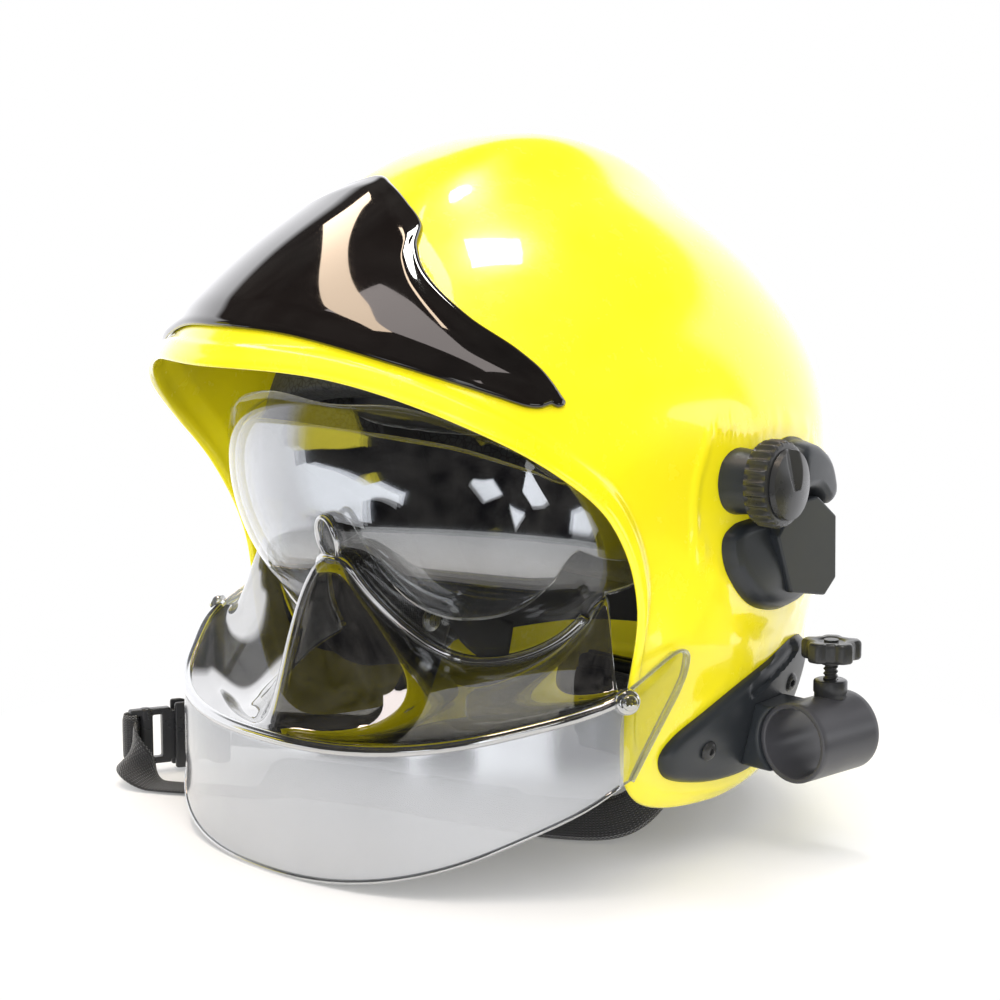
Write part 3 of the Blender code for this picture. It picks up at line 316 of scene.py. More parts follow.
YELLOW = yellow_paint()
PLATE_BLACK = piano_black()
SATIN = moulded("satin_nylon", (0.015, 0.0175, 0.021), (0.024, 0.028, 0.033), 0.36, 0.3, 0.014, rub=0.05)
KNOB_BLACK = moulded("knob_nylon", (0.018, 0.019, 0.02), (0.032, 0.032, 0.032), 0.3, 0.25, 0.008, rub=0.06)
GLOVE_BLACK = moulded("clip_nylon", (0.016, 0.016, 0.018), (0.03, 0.031, 0.033), 0.3, 0.3, 0.01, rub=0.08)
TUBE_GREY = moulded("tube_anodised", (0.038, 0.038, 0.043), (0.056, 0.056, 0.063), 0.34, 0.2, 0.006, rub=0.05)
RACK_GREY = moulded("rack_plastic", (0.09, 0.09, 0.1), (0.14, 0.14, 0.15), 0.5)
INNER_BLACK = moulded("inner_plastic", (0.02, 0.02, 0.022), (0.035, 0.035, 0.038), 0.5, 0.4, 0.02)
EYE_CLEAR = clear_plastic("shield_eye_clear", (0.94, 0.945, 0.95), 0.06, 0.012)
SHELF_CLEAR = clear_plastic("shield_shelf_clear", (0.52, 0.52, 0.52), 0.34, 0.02)
BEAD_CLEAR = clear_plastic("shield_bead_clear", (0.62, 0.63, 0.64), 0.50, 0.03)
# The band's grey diffuse body partly stands in for the reflection of the pale floor: painted reflection.
BAND_CLEAR = clear_plastic("shield_band_clear", (0.70, 0.71, 0.73), 0.26, 0.14, 0.34, (0.62, 0.64, 0.68),
                           brushed=True)
WALL_EDGE = clear_plastic("shield_cut_edge", (0.50, 0.52, 0.52), 0.30, 0.08, 0.3, (0.75, 0.76, 0.72))
LENS_CLEAR = clear_plastic("lens_clear", (0.60, 0.61, 0.63), 0.34, 0.012)
STUD_CLEAR = clear_plastic("stud_clear", (0.8, 0.82, 0.84), 0.2, 0.04, 0.15)
WEBBING = woven("webbing", (0.006, 0.006, 0.007), (0.035, 0.035, 0.037))
LINING = woven("crown_webbing", (0.010, 0.010, 0.011), (0.05, 0.05, 0.055), 1.8, 1.3)
PAD_KNIT = knitted("pad_knit", (0.006, 0.006, 0.007), (0.045, 0.045, 0.05))
FOAM = beaded_foam("liner_foam")
STEEL = turned_steel("plated_steel")


# ================================================================ mesh helpers
def place(name, data):
    obj = bpy.data.objects.new(name, data)
    bpy.context.scene.collection.objects.link(obj)
    return obj


def applied(obj):
    """The object's mesh as its modifiers leave it."""
    bpy.context.view_layer.update()
    return bpy.data.meshes.new_from_object(obj.evaluated_get(bpy.context.evaluated_depsgraph_get()))


def finish_piece(obj, body_and_painted_reflection, stands_for=()):
    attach(obj, body_and_painted_reflection)
    if stands_for:
        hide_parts(*stands_for)
    return obj


def mesh_piece(name, points, faces, mats, smooth=True, indices=None, uv=None):
    """A mesh object from points in millimetres."""
    mesh = bpy.data.meshes.new(name)
    mesh.from_pydata((np.asarray(points, float) * MM).tolist(), [], [tuple(int(i) for i in f) for f in faces])
    for mat in mats if isinstance(mats, (list, tuple)) else [mats]:
        mesh.materials.append(mat)
    if indices is not None:
        mesh.polygons.foreach_set("material_index", np.asarray(indices, np.int32))
    if uv is not None:
        layer = mesh.uv_layers.new(name="length")
        order = np.empty(len(mesh.loops), np.int32)
        mesh.loops.foreach_get("vertex_index", order)
        layer.data.foreach_set("uv", (np.asarray(uv, float) * MM)[order].astype(np.float32).ravel())
    work = bmesh.new()
    work.from_mesh(mesh)
    bmesh.ops.remove_doubles(work, verts=work.verts, dist=1e-6)
    bmesh.ops.recalc_face_normals(work, faces=work.faces)
    work.to_mesh(mesh)
    work.free()
    if smooth:
        mesh.shade_smooth()
    return place(name, mesh)


def soften(obj, width, segments=2, angle=35):
    mod = obj.modifiers.new("edge", "BEVEL")
    mod.width = width * MM
    mod.segments = segments
    mod.limit_method = "ANGLE"
    mod.angle_limit = math.radians(angle)
    mod.harden_normals = False
    return obj


def sharp_smooth(obj, angle=40):
    """Smooth shading with the edges over an angle kept sharp."""
    mesh = obj.data
    work = bmesh.new()
    work.from_mesh(mesh)
    for edge in work.edges:
        edge.smooth = len(edge.link_faces) != 2 or edge.calc_face_angle(0) < math.radians(angle)
    for face in work.faces:
        face.smooth = True
    work.to_mesh(mesh)
    work.free()
    return obj


def frame_of(along):
    """Two unit vectors across a direction."""
    along = np.asarray(along, float) / np.linalg.norm(along)
    first = np.cross([0.0, 0.0, 1.0] if abs(along[2]) < 0.9 else [1.0, 0.0, 0.0], along)
    first /= np.linalg.norm(first)
    return first, np.cross(along, first), along


def turned(name, profile, at, along, mats, sides=96, shape=None):
    """A lathe about an axis: the profile is (radius, height) rows; shape may change a radius by angle."""
    u, v, w = frame_of(along)
    at = np.asarray(at, float)
    profile = np.asarray(profile, float)
    angles = np.linspace(0, 2 * math.pi, sides, endpoint=False)
    r = np.repeat(profile[None, :, 0], sides, 0)
    h = np.repeat(profile[None, :, 1], sides, 0)
    a = np.repeat(angles[:, None], len(profile), 1)
    if shape:
        r, h = shape(r, h, a)
    points = at + (r * np.cos(a))[..., None] * u + (r * np.sin(a))[..., None] * v + h[..., None] * w
    m = len(profile)
    faces = []
    for i in range(sides):
        k = (i + 1) % sides
        for j in range(m - 1):
            faces.append((i * m + j, k * m + j, k * m + j + 1, i * m + j + 1))
    if profile[0, 0] > 0 and profile[-1, 0] > 0:
        faces += [(i * m + m - 1, (i + 1) % sides * m + m - 1, (i + 1) % sides * m, i * m)
                  for i in range(sides)]
    return sharp_smooth(mesh_piece(name, points.reshape(-1, 3), faces, mats), 50)


def grid_faces(n, m, base=0, flip=False):
    faces = [(base + i * m + j, base + (i + 1) * m + j, base + (i + 1) * m + j + 1, base + i * m + j + 1)
             for i in range(n - 1) for j in range(m - 1)]
    return [f[::-1] for f in faces] if flip else faces


def grid_rim(n, m):
    return ([(i * m, (i + 1) * m) for i in range(n - 1)]
            + [((n - 1) * m + j, (n - 1) * m + j + 1) for j in range(m - 1)]
            + [((i + 1) * m + m - 1, i * m + m - 1) for i in range(n - 1)]
            + [(j + 1, j) for j in range(m - 1)])


def slab_of(low, high):
    """Points and faces of a closed slab between two grids of the same shape."""
    n, m = low.shape[:2]
    faces = grid_faces(n, m) + grid_faces(n, m, n * m, True)
    faces += [(a, b, n * m + b, n * m + a) for a, b in grid_rim(n, m)]
    return np.concatenate([low.reshape(-1, 3), high.reshape(-1, 3)]), faces


def spline(table, x):
    """A smooth curve through a table that is the same on both sides of zero."""
    table = np.array(table, float)
    xs = np.concatenate([[-table[1, 0]], table[:, 0], [2 * table[-1, 0] - table[-2, 0]]])
    ys = np.concatenate([[table[1, 1]], table[:, 1], [table[-2, 1]]])
    x = np.minimum(np.abs(np.asarray(x, float)), table[-1, 0])
    i = np.clip(np.searchsorted(xs, x) - 1, 1, len(xs) - 3)
    wide = xs[i + 1] - xs[i]
    t = (x - xs[i]) / wide
    m0 = (ys[i + 1] - ys[i - 1]) / (xs[i + 1] - xs[i - 1]) * wide
    m1 = (ys[i + 2] - ys[i]) / (xs[i + 2] - xs[i]) * wide
    return ((2 * t**3 - 3 * t**2 + 1) * ys[i] + (t**3 - 2 * t**2 + t) * m0
            + (3 * t**2 - 2 * t**3) * ys[i + 1] + (t**3 - t**2) * m1)


def ease(t):
    t = np.clip(t, 0, 1)
    return t * t * t * (t * (6 * t - 15) + 10)


def mix(low, high, side):
    return low + (high - low) * ease(0.5 + 0.5 * side)


def catmull(a, b, c, d, t):
    """The Catmull-Rom curve from b to c."""
    return 0.5 * (2 * b + (c - a) * t + (2 * a - 5 * b + 4 * c - d) * t**2 + (3 * b - a - 3 * c + d) * t**3)


def smooth_path(points, count):
    """A Catmull-Rom curve through the points, resampled."""
    p = np.asarray(points, float)
    p = np.concatenate([[2 * p[0] - p[1]], p, [2 * p[-1] - p[-2]]])
    out = []
    for s in np.linspace(0, len(p) - 3 - 1e-9, count):
        i, t = int(s), s - int(s)
        out.append(catmull(*p[i:i + 4], t))
    return np.array(out)


def rounded(points, per=6):
    """A closed smooth outline through a few points."""
    p = np.asarray(points, float)
    n, out = len(p), []
    for i in range(n):
        for t in np.linspace(0, 1, per, endpoint=False):
            out.append(catmull(p[i - 1], p[i], p[(i + 1) % n], p[(i + 2) % n], t))
    return np.array(out)


def polygon_distance(outline, points):
    """Distance of 2-D points to a closed outline, negative inside it."""
    a, b = outline, np.roll(outline, -1, 0)
    ab = b - a
    ap = points[..., None, :] - a
    t = np.clip((ap * ab).sum(-1) / (ab * ab).sum(-1), 0, 1)
    far = np.linalg.norm(ap - t[..., None] * ab, axis=-1).min(-1)
    crossing = (a[:, 1] > points[..., None, 1]) != (b[:, 1] > points[..., None, 1])
    at = a[:, 0] + (points[..., None, 1] - a[:, 1]) * ab[:, 0] / np.where(ab[:, 1] == 0, 1e-9, ab[:, 1])
    inside = (crossing & (points[..., None, 0] < at)).sum(-1) % 2 == 1
    return np.where(inside, -far, far)


def tube_along(name, path, radius, mats, sides=16, closed=False, up=(0, 0, 1)):
    """A round rod along a path."""
    path = np.asarray(path, float)
    n = len(path)
    tangent = (np.roll(path, -1, 0) - np.roll(path, 1, 0)) if closed else np.gradient(path, axis=0)
    tangent /= np.linalg.norm(tangent, axis=1)[:, None]
    side = np.cross(tangent, np.asarray(up, float))
    side /= np.linalg.norm(side, axis=1)[:, None]
    over = np.cross(side, tangent)
    angle = np.linspace(0, 2 * math.pi, sides, endpoint=False)
    radius = np.broadcast_to(radius, (n,))[:, None, None]
    points = (path[:, None] + radius * (np.cos(angle)[None, :, None] * side[:, None]
                                        + np.sin(angle)[None, :, None] * over[:, None]))
    faces = []
    for i in range(n if closed else n - 1):
        k = (i + 1) % n
        faces += [(i * sides + j, i * sides + (j + 1) % sides, k * sides + (j + 1) % sides, k * sides + j)
                  for j in range(sides)]
    if not closed:
        faces += [tuple(range(sides))[::-1], tuple((n - 1) * sides + j for j in range(sides))]
    return mesh_piece(name, points.reshape(-1, 3), faces, mats)


def strap(name, path, wide, thick, normals, mats):
    """Flat webbing carried along a path: a rounded section, with its own length and width as coordinates."""
    path, normals = np.asarray(path, float), np.asarray(normals, float)
    tangent = np.gradient(path, axis=0)
    tangent /= np.linalg.norm(tangent, axis=1)[:, None]
    normals = normals - (normals * tangent).sum(1)[:, None] * tangent
    normals /= np.linalg.norm(normals, axis=1)[:, None]
    across = np.cross(tangent, normals)
    share = np.linspace(-1, 1, 9)
    edge = np.sqrt(np.clip(1 - np.abs(share) ** 6, 0, 1))
    section = [(s, e) for s, e in zip(share, edge)] + [(s, -e) for s, e in zip(share[::-1], edge[::-1])][1:-1]
    section = np.array(section)
    half = wide / 2
    points = (path[:, None] + (section[:, 0] * half)[None, :, None] * across[:, None]
              + (section[:, 1] * thick / 2)[None, :, None] * normals[:, None])
    run = np.concatenate([[0], np.cumsum(np.linalg.norm(np.diff(path, axis=0), axis=1))])
    n, m = len(path), len(section)
    uv = np.stack([np.repeat(run[:, None], m, 1), np.repeat((section[:, 0] * half)[None], n, 0)], -1)
    faces = [(i * m + j, i * m + (j + 1) % m, (i + 1) * m + (j + 1) % m, (i + 1) * m + j)
             for i in range(n - 1) for j in range(m)]
    faces += [tuple(range(m))[::-1], tuple((n - 1) * m + j for j in range(m))]
    return mesh_piece(name, points.reshape(-1, 3), faces, mats, uv=uv.reshape(-1, 2))


# ================================================================ shell surface
BRACKET_OUTLINE = rounded([(20, 172), (44, 173), (66, 166), (78, 146), (79, 124), (70, 106), (48, 100),
                           (24, 105), (8, 120), (-6, 136), (-8, 158), (2, 174)], 6)
PLATE_OUTLINE = rounded([(-17, 47), (-12, 38), (2, 33), (22, 30), (44, 30), (61, 36), (73, 52), (80, 70),
                         (76, 82), (62, 84), (44, 79), (22, 72), (0, 62), (-12, 55)], 8)


def heading(turn, tilt):
    turn, tilt = np.radians(turn), np.radians(tilt)
    flat = np.sin(tilt)
    return ((flat * np.sin(turn))[..., None] * np.array([1.0, 0, 0])
            + (flat * np.cos(turn))[..., None] * AHEAD + np.cos(tilt)[..., None] * POLE)


def shell_radius(d):
    reach = mix(FRONT, REAR, d[..., 1] * 1.4)
    rise = mix(DOWN, TOP, np.clip(d[..., 2] * 1.6, -1, 1))
    r = ((np.abs(d[..., 0]) / HALF_WIDTH) ** ROUND_POWER + (np.abs(d[..., 1]) / reach) ** ROUND_POWER
         + (np.abs(d[..., 2]) / rise) ** ROUND_POWER) ** (-1 / ROUND_POWER)
    tilt = np.degrees(np.arccos(np.clip(d @ POLE, -1, 1)))
    turn = np.degrees(np.arctan2(d[..., 0], d @ AHEAD))
    edge = spline(EDGE, turn)
    along = tilt / edge
    up = np.degrees(np.arctan2(d[..., 2], -d[..., 1]))
    r = r + spline(COMB, np.where(up < 0, 0, up)) / (1 + (np.abs(r * d[..., 0]) / COMB_W) ** 4)
    r = r + spline(FLARE, turn) * np.clip((along - 0.35) / 0.65, 0, 1.2) ** 2.2
    inside = np.radians(edge - tilt) * r
    return r + LIP_H * ease((LIP_IN - inside) / 4.0 + 0.5)


def shell_point(turn, along, off=0.0):
    d = heading(turn, along * spline(EDGE, turn))
    return SHELL_C + (shell_radius(d) + off)[..., None] * d


def shell_x(y, z, off=0.0):
    low, high = np.full(np.shape(y), 20.0), np.full(np.shape(y), 190.0)
    for _ in range(34):
        x = (low + high) / 2
        v = np.stack([x, y - SHELL_C[1], z - SHELL_C[2]], -1)
        far = np.linalg.norm(v, axis=-1)
        outside = far > shell_radius(v / far[..., None]) + off
        high, low = np.where(outside, x, high), np.where(outside, low, x)
    return (low + high) / 2


def raised_contour(points):
    """A shallow raised line pressed into the shell round the bracket and round each side plate."""
    side = np.abs(points[..., 0]) > 90
    yz = points[..., 1:]
    lift = np.zeros(points.shape[:-1])
    near = side & (points[..., 0] > 0)
    lift[near] += 1.1 * np.exp(-((polygon_distance(BRACKET_OUTLINE, yz[near]) - 4.0) / 1.3) ** 2)
    lift[side] += 0.7 * np.exp(-((polygon_distance(PLATE_OUTLINE, yz[side]) - 3.5) / 1.3) ** 2)
    return lift


def closed_bowl(name, grid, mats, indices=None):
    """A bowl from one grid of turns by rows, from the outer crown over the rim to the inner crown."""
    n, m = grid.shape[:2]
    faces = [(i * m + j, ((i + 1) % n) * m + j, ((i + 1) % n) * m + j + 1, i * m + j + 1)
             for i in range(n) for j in range(m - 1)]
    return mesh_piece(name, grid.reshape(-1, 3), faces, mats, indices=indices)


def build_shell():
    turns = np.linspace(-180, 180, 361)[:-1]
    outer = np.concatenate([np.linspace(0.0, 0.86, 62), np.linspace(0.87, 0.985, 26), [0.991, 0.996, 0.999]])
    rim_in = [0.999, 0.996, 0.990]
    paint_ends = 0.62 + 0.31 * ease((np.abs(turns) - 66) / 30)
    share = np.linspace(0, 1, 26)
    painted = 0.98 + (paint_ends[:, None] - 0.98) * share
    inner = np.concatenate([np.tile(rim_in, (len(turns), 1)), painted,
                            paint_ends[:, None] * (1 - share[1:])], 1)
    drop_out = np.concatenate([np.zeros(len(outer) - 3), [0.35, 0.95, 1.7]])
    drop_in = np.concatenate([[SHELL_T - 1.7, SHELL_T - 0.8, SHELL_T - 0.2],
                              np.full(inner.shape[1] - 3, SHELL_T)])
    t, a = np.meshgrid(turns, outer, indexing="ij")
    out = shell_point(t, a, -drop_out[None])
    centre_line = out - SHELL_C
    centre_line /= np.linalg.norm(centre_line, axis=-1)[..., None]
    out = out + raised_contour(out)[..., None] * centre_line
    t = np.broadcast_to(turns[:, None], inner.shape)
    grid = np.concatenate([out, shell_point(t, inner, -drop_in[None])], 1)
    # Deeper in than the yellow under the brim, the inner faces take the dark inner plastic: partly for the
    # liner parts that cover them, partly painted shade in the depth of the bowl.
    painted_shade_inside = np.arange(grid.shape[1] - 1) >= len(outer) + len(rim_in) + len(share) - 1
    indices = np.tile(painted_shade_inside, len(turns)).astype(int).tolist()
    obj = closed_bowl("shell_skin", grid, [YELLOW, INNER_BLACK], indices)
    finish_piece(obj, "shell", ["outer_shell"])


def build_front_plate():
    """The mirror-gloss plate: crowned, with rounded borders and rounded ends."""
    turns = PLATE_END * np.sin(np.linspace(-math.pi / 2, math.pi / 2, 261))
    rows = 0.5 - 0.5 * np.cos(np.linspace(0, math.pi, 61))
    top, low = spline(PLATE_TOP, np.abs(turns)), spline(PLATE_LOW, np.abs(turns))
    reach = np.clip((np.abs(turns) - 45.6) / (PLATE_END - 45.6), 0, 1)
    close = np.sqrt(1 - reach ** 2.2)
    middle = (top + low) / 2
    half = np.maximum((low - top) / 2, 1.9) * close
    top, low = middle - half, middle + half
    t, r = np.meshgrid(turns, rows, indexing="ij")
    tilt = top[:, None] + (low - top)[:, None] * r
    along = tilt / spline(EDGE, t)
    from_side = np.minimum(r, 1 - r) * np.radians(low - top)[:, None] * 150
    from_end = np.radians(PLATE_END - np.abs(t)) * 135
    inward = np.minimum(from_side, from_end)
    round_over = np.sqrt(np.clip(1 - (1 - np.clip(inward / 2.8, 0, 1)) ** 2, 0, 1))
    high = shell_point(t, along, 0.8 + 2.6 * round_over + 0.9 * ease(inward / 14))
    points, faces = slab_of(shell_point(t, along, 0.7), high)
    obj = mesh_piece("front_plate_gloss", points, faces, PLATE_BLACK)
    finish_piece(obj, "shell", ["front_plate"])


# ================================================================ visors
def visor_point(x, angle, half, radius):
    r = radius * np.clip(1 - (np.abs(x) / half) ** FS_POWER, 0, 1) ** (1 / FS_POWER)
    angle = np.radians(angle)
    return np.stack([x + 0 * r, PIVOT[1] - r * np.cos(angle), PIVOT[2] + r * np.sin(angle)], -1)


def visor_grid(half, radius, top, low, x_end, centre_cols, ear_cols, rows):
    """Columns from the right ear to the left ear, rows from the top edge down."""
    xs = x_end * np.linspace(0, 1, centre_cols)
    r_end = radius * (1 - (x_end / half) ** FS_POWER) ** (1 / FS_POWER)
    rs = np.linspace(r_end, HUB_R + 1.1, ear_cols + 1)[1:]
    x_all = np.concatenate([xs, half * np.clip(1 - (rs / radius) ** FS_POWER, 0, 1) ** (1 / FS_POWER)])
    share = (r_end - rs) / (r_end - HUB_R)
    t_all = np.concatenate([spline(top, xs), top[-1][1] + (38 - top[-1][1]) * share])
    b_all = np.concatenate([spline(low, xs), low[-1][1] + (-74 - low[-1][1]) * share])
    x_all = np.concatenate([-x_all[:0:-1], x_all])
    t_all, b_all = (np.concatenate([v[:0:-1], v]) for v in (t_all, b_all))
    s = np.linspace(0, 1, rows)
    angle = t_all[:, None] + (b_all - t_all)[:, None] * s[None]
    return visor_point(np.repeat(x_all[:, None], rows, 1), angle, half, radius)


class Sheet:
    """A thin moulding: patches of quads joined where they meet, each with its own finish, then thickened."""

    def __init__(self):
        self.points, self.faces, self.finish = [], [], []

    def patch(self, grid, finish):
        base = len(self.points)
        self.points += grid.reshape(-1, 3).tolist()
        faces = grid_faces(*grid.shape[:2], base)
        self.faces += faces
        self.finish += [finish] * len(faces)

    def solid(self, name, mats, thick, outward):
        obj = mesh_piece(name, self.points, self.faces, mats, indices=self.finish)
        middle = Vector(outward)
        nearest = max(obj.data.polygons, key=lambda f: f.center.dot(middle))
        if nearest.normal.dot(middle) < 0:
            obj.data.flip_normals()
        wall = obj.modifiers.new("wall", "SOLIDIFY")
        wall.thickness = thick * MM
        wall.offset = -1.0
        wall.use_even_offset = True
        wall.material_offset_rim = 1
        return obj


def rim_xy(q):
    share = (RIM_C_Y - NOTCH_Y) / RIM_DEEP
    end = math.acos(share ** (RIM_POWER / 2))
    angle = np.abs(q) * end
    x = np.sign(q) * RIM_HALF * np.sin(angle) ** (2 / RIM_POWER)
    y = RIM_C_Y - RIM_DEEP * np.cos(angle) ** (2 / RIM_POWER)
    return x + np.sign(q) * NOTCH_OUT * ease((y + 92) / 38), y, 1 - np.cos(angle)


def face_shield_grids():
    fine = SHIELD_FINE
    eye = visor_grid(FS_HALF, FS_R, FS_TOP, FS_LOW, 104.0, 19 * fine + 1, 4 * fine, 7 * fine)
    count = 38 * fine + 1
    first = (eye.shape[0] - count) // 2
    upper = eye[first:first + count, -1]
    q = np.linspace(-1, 1, count)
    x, y, k = rim_xy(q)
    rim = np.stack([x, y, 56 + 29 * k + 17 * k * k], -1)
    low = np.stack([x, y, 60 * k + 22 * k * k], -1)
    s = np.linspace(0, 1, 8 * fine)[None, :, None]
    fall = np.clip(s / LEDGE_START, 0, 1)
    out = (ease(fall * 0.86 + 0.07) - ease(0.07)) / (ease(0.93) - ease(0.07))
    dip = (1 - np.abs(q))[:, None, None] * 9.0 * np.sin(np.pi * fall) * np.array([0, 0, 1.0])
    shelf = upper[:, None] * (1 - s) + rim[:, None] * s
    shelf[..., 2:] = upper[:, None, 2:] * (1 - out) + rim[:, None, 2:] * out
    keel = 13.0 * np.exp(-(x[:, None, None] / 13.0) ** 2) * np.sin(np.pi * s)
    shelf = shelf + keel * np.array([0, -0.55, 0.5]) - dip * (1 - np.exp(-(x[:, None, None] / 22.0) ** 2))
    ahead = np.stack([x, y - RIM_C_Y, 0 * x], -1)
    ahead /= np.linalg.norm(ahead, axis=1)[:, None]
    bead = np.stack([rim + 2.2 * math.sin(math.pi / 2 * b) * ahead
                     + np.array([0, 0, -2.4 * (1 - math.cos(math.pi / 2 * b))])
                     for b in np.linspace(0, 1, 3 * fine)], 1)
    start, foot = bead[:, -1], low + 2.2 * ahead
    t = np.linspace(0, 1, 4 * fine)[None, :, None]
    band = start[:, None] * (1 - t) + foot[:, None] * t
    panels = []
    for side in (0, -1):
        skirt = np.concatenate([bead[side][:-1], band[side]])
        share = np.linspace(0, 1, len(skirt))
        down = [0, 0.05, 0.10, 0.16, 0.23, 0.3, 0.4, 1]
        back_y = np.interp(share, down, [-21, -17.5, -15.4, -15, -15.8, -17.5, -22, -47.5])
        back_z = np.interp(share, down, [93, 93, 92.4, 91, 87.5, 83, 77, skirt[-1][2] + 1.5])
        back = np.stack([np.sign(skirt[:, 0]) * (np.abs(skirt[:, 0]) + 0.8), back_y, back_z], -1)
        f = np.linspace(0, 1, 4 * fine)[:, None, None]
        panels.append(skirt[None] * (1 - f) + back[None] * f)
    return eye, shelf, bead, band, panels


def build_face_shield():
    eye, shelf, bead, band, panels = face_shield_grids()
    sheet = Sheet()
    for grid, finish in ((eye, 0), (shelf, 2), (bead, 4), (band, 6), (panels[0], 0), (panels[1], 0)):
        sheet.patch(grid, finish)
    mats = [EYE_CLEAR, WALL_EDGE, SHELF_CLEAR, WALL_EDGE, BEAD_CLEAR, WALL_EDGE, BAND_CLEAR, WALL_EDGE]
    obj = sheet.solid("face_shield_clear", mats, FS_T, (0, -1, -0.2))
    finish_piece(obj, "face_shield", ["face_shield"])
    return eye, shelf, bead, band, panels


def build_ocular_visor():
    sheet = Sheet()
    sheet.patch(visor_grid(OV_HALF, OV_R, OV_TOP, OV_LOW, 99.0, 80, 20, 36), 0)
    obj = sheet.solid("ocular_visor_clear", [LENS_CLEAR, WALL_EDGE], OV_T, (0, -1, 0))
    finish_piece(obj, "ocular_visor", ["ocular_visor"])


build_shell()
build_front_plate()
SHIELD = build_face_shield()
build_ocular_visor()


# ================================================================ pieces that lie on the shell's side
def side_dome(name, outline, low, profile, mats, side=1, rings=20, shape=None):
    """A piece on the shell's side. profile gives (distance in from the outline, height over the shell)."""
    outline = np.asarray(outline, float)
    middle = outline.mean(0)
    count = len(outline)
    depths = (1 - np.linspace(0, 1, rings) ** 1.5)[::-1]
    yz = middle + (outline - middle)[None] * (1 - depths[:, None, None] * 0.985)
    inward = np.maximum(-polygon_distance(outline, yz), 0)
    far, height = zip(*profile)
    high = np.interp(inward, far, height)
    if shape:
        high = shape(yz[..., 0], yz[..., 1], high, inward)
    points, faces = [], []
    for off in (np.full(yz.shape[:2], low), high):
        x = shell_x(yz[..., 0], yz[..., 1], off)
        points.append(np.stack([side * x, yz[..., 0], yz[..., 1]], -1))
        middle_off = float(off[-1].mean())
        mx = float(shell_x(middle[:1], middle[1:], middle_off)[0])
        points.append(np.array([[[side * mx, *middle]]]))
    stack = rings * count + 1
    flat = np.concatenate([p.reshape(-1, 3) for p in points])
    for layer in range(2):
        base = layer * stack
        for k in range(rings - 1):
            for i in range(count):
                n = (i + 1) % count
                faces.append((base + k * count + i, base + k * count + n,
                              base + (k + 1) * count + n, base + (k + 1) * count + i))
        faces += [(base + (rings - 1) * count + i, base + (rings - 1) * count + (i + 1) % count,
                   base + rings * count) for i in range(count)]
    faces += [(i, (i + 1) % count, stack + (i + 1) % count, stack + i) for i in range(count)]
    return sharp_smooth(mesh_piece(name, flat, faces, mats), 42)


def side_block(name, outline, plane_at, plane_normal, round_mm):
    """A block of the bracket that rises from inside its base to a flat outer face on a plane."""
    outline = np.asarray(outline, float)
    foot = np.stack([shell_x(outline[:, 0], outline[:, 1], 4.0), outline[:, 0], outline[:, 1]], -1)
    px, py, pz = plane_at
    nx, ny, nz = plane_normal
    top_x = px - ((outline[:, 0] - py) * ny + (outline[:, 1] - pz) * nz) / nx
    head = np.stack([top_x, outline[:, 0], outline[:, 1]], -1)
    n = len(outline)
    faces = [tuple(range(n))[::-1], tuple(range(n, 2 * n))]
    faces += [(i, (i + 1) % n, n + (i + 1) % n, n + i) for i in range(n)]
    obj = mesh_piece(name, np.concatenate([foot, head]), faces, SATIN, smooth=False)
    return soften(obj, round_mm, 3, 25)


def shell_x_at(y, z, off=0.0):
    return float(shell_x(np.array([y]), np.array([z]), off)[0])


def build_side_bracket():
    base = rounded([(38, 168), (50, 171), (66, 165), (78, 146), (79, 124), (70, 106), (48, 100), (24, 105),
                    (8, 119), (3, 133), (10, 140), (30, 143), (36, 156)], 12)

    def saddle(y, z, high, inward):
        """Hollowed where the knob sits, and swelling towards the lower edge."""
        hollow = 1.6 * np.exp(-(((y - 16) / 10) ** 2 + ((z - 150) / 12) ** 2))
        swell = 2.4 * np.exp(-(((y - 40) / 26) ** 2 + ((z - 118) / 15) ** 2)) * ease(inward / 5)
        return high - hollow + swell

    profile = [(0, 0.6), (0.5, 2.2), (1.2, 3.6), (2.2, 4.7), (4.0, 5.5), (60, 5.9)]
    body_and_painted_reflection = side_dome("bracket_body", base, 0.2, profile, SATIN, shape=saddle, rings=20)
    finish_piece(body_and_painted_reflection, "shell", ["bracket_base"])
    arm = rounded([(36, 168), (50, 170), (64, 162), (70, 148), (62, 142), (50, 150), (36, 152)], 10)
    profile = [(0, 6.6), (0.4, 9.5), (1.2, 12.4), (2.5, 14.4), (4.5, 15.5), (40, 15.8)]
    arm = side_dome("bracket_arm_curved", arm, 4.5, profile, SATIN, rings=16)
    finish_piece(arm, "shell", ["bracket_arm"])
    slab_x = shell_x_at(48.0, 126.0, 13.2)
    slab = [(33.5, 147), (47.5, 148.5), (61, 139), (67.5, 112), (62, 105), (40, 109), (26, 134)]
    slab = side_block("bracket_slab_flat", slab, (slab_x, 48, 126), (0.985, -0.02, -0.17), 0.9)
    finish_piece(slab, "shell", ["bracket_slab"])
    wedge_x = shell_x_at(69.0, 125.0, 10.4)
    wedge = [(63.5, 138), (71, 136), (75, 122), (72.5, 112), (67.5, 111.5)]
    wedge = side_block("bracket_wedge_flat", wedge, (wedge_x, 69, 125), (0.94, 0.34, -0.02), 0.7)
    finish_piece(wedge, "shell", ["bracket_wedge"])


KNOB_AXIS = np.array([0.985, 0.17, 0.02]) / np.linalg.norm([0.985, 0.17, 0.02])
KNOB_R, KNOB_HIGH, KNOB_RIBS = 17.5, 11.0, 24
KNOB_Y, KNOB_Z, KNOB_LIFT = 13.0, 157.0, 10.0


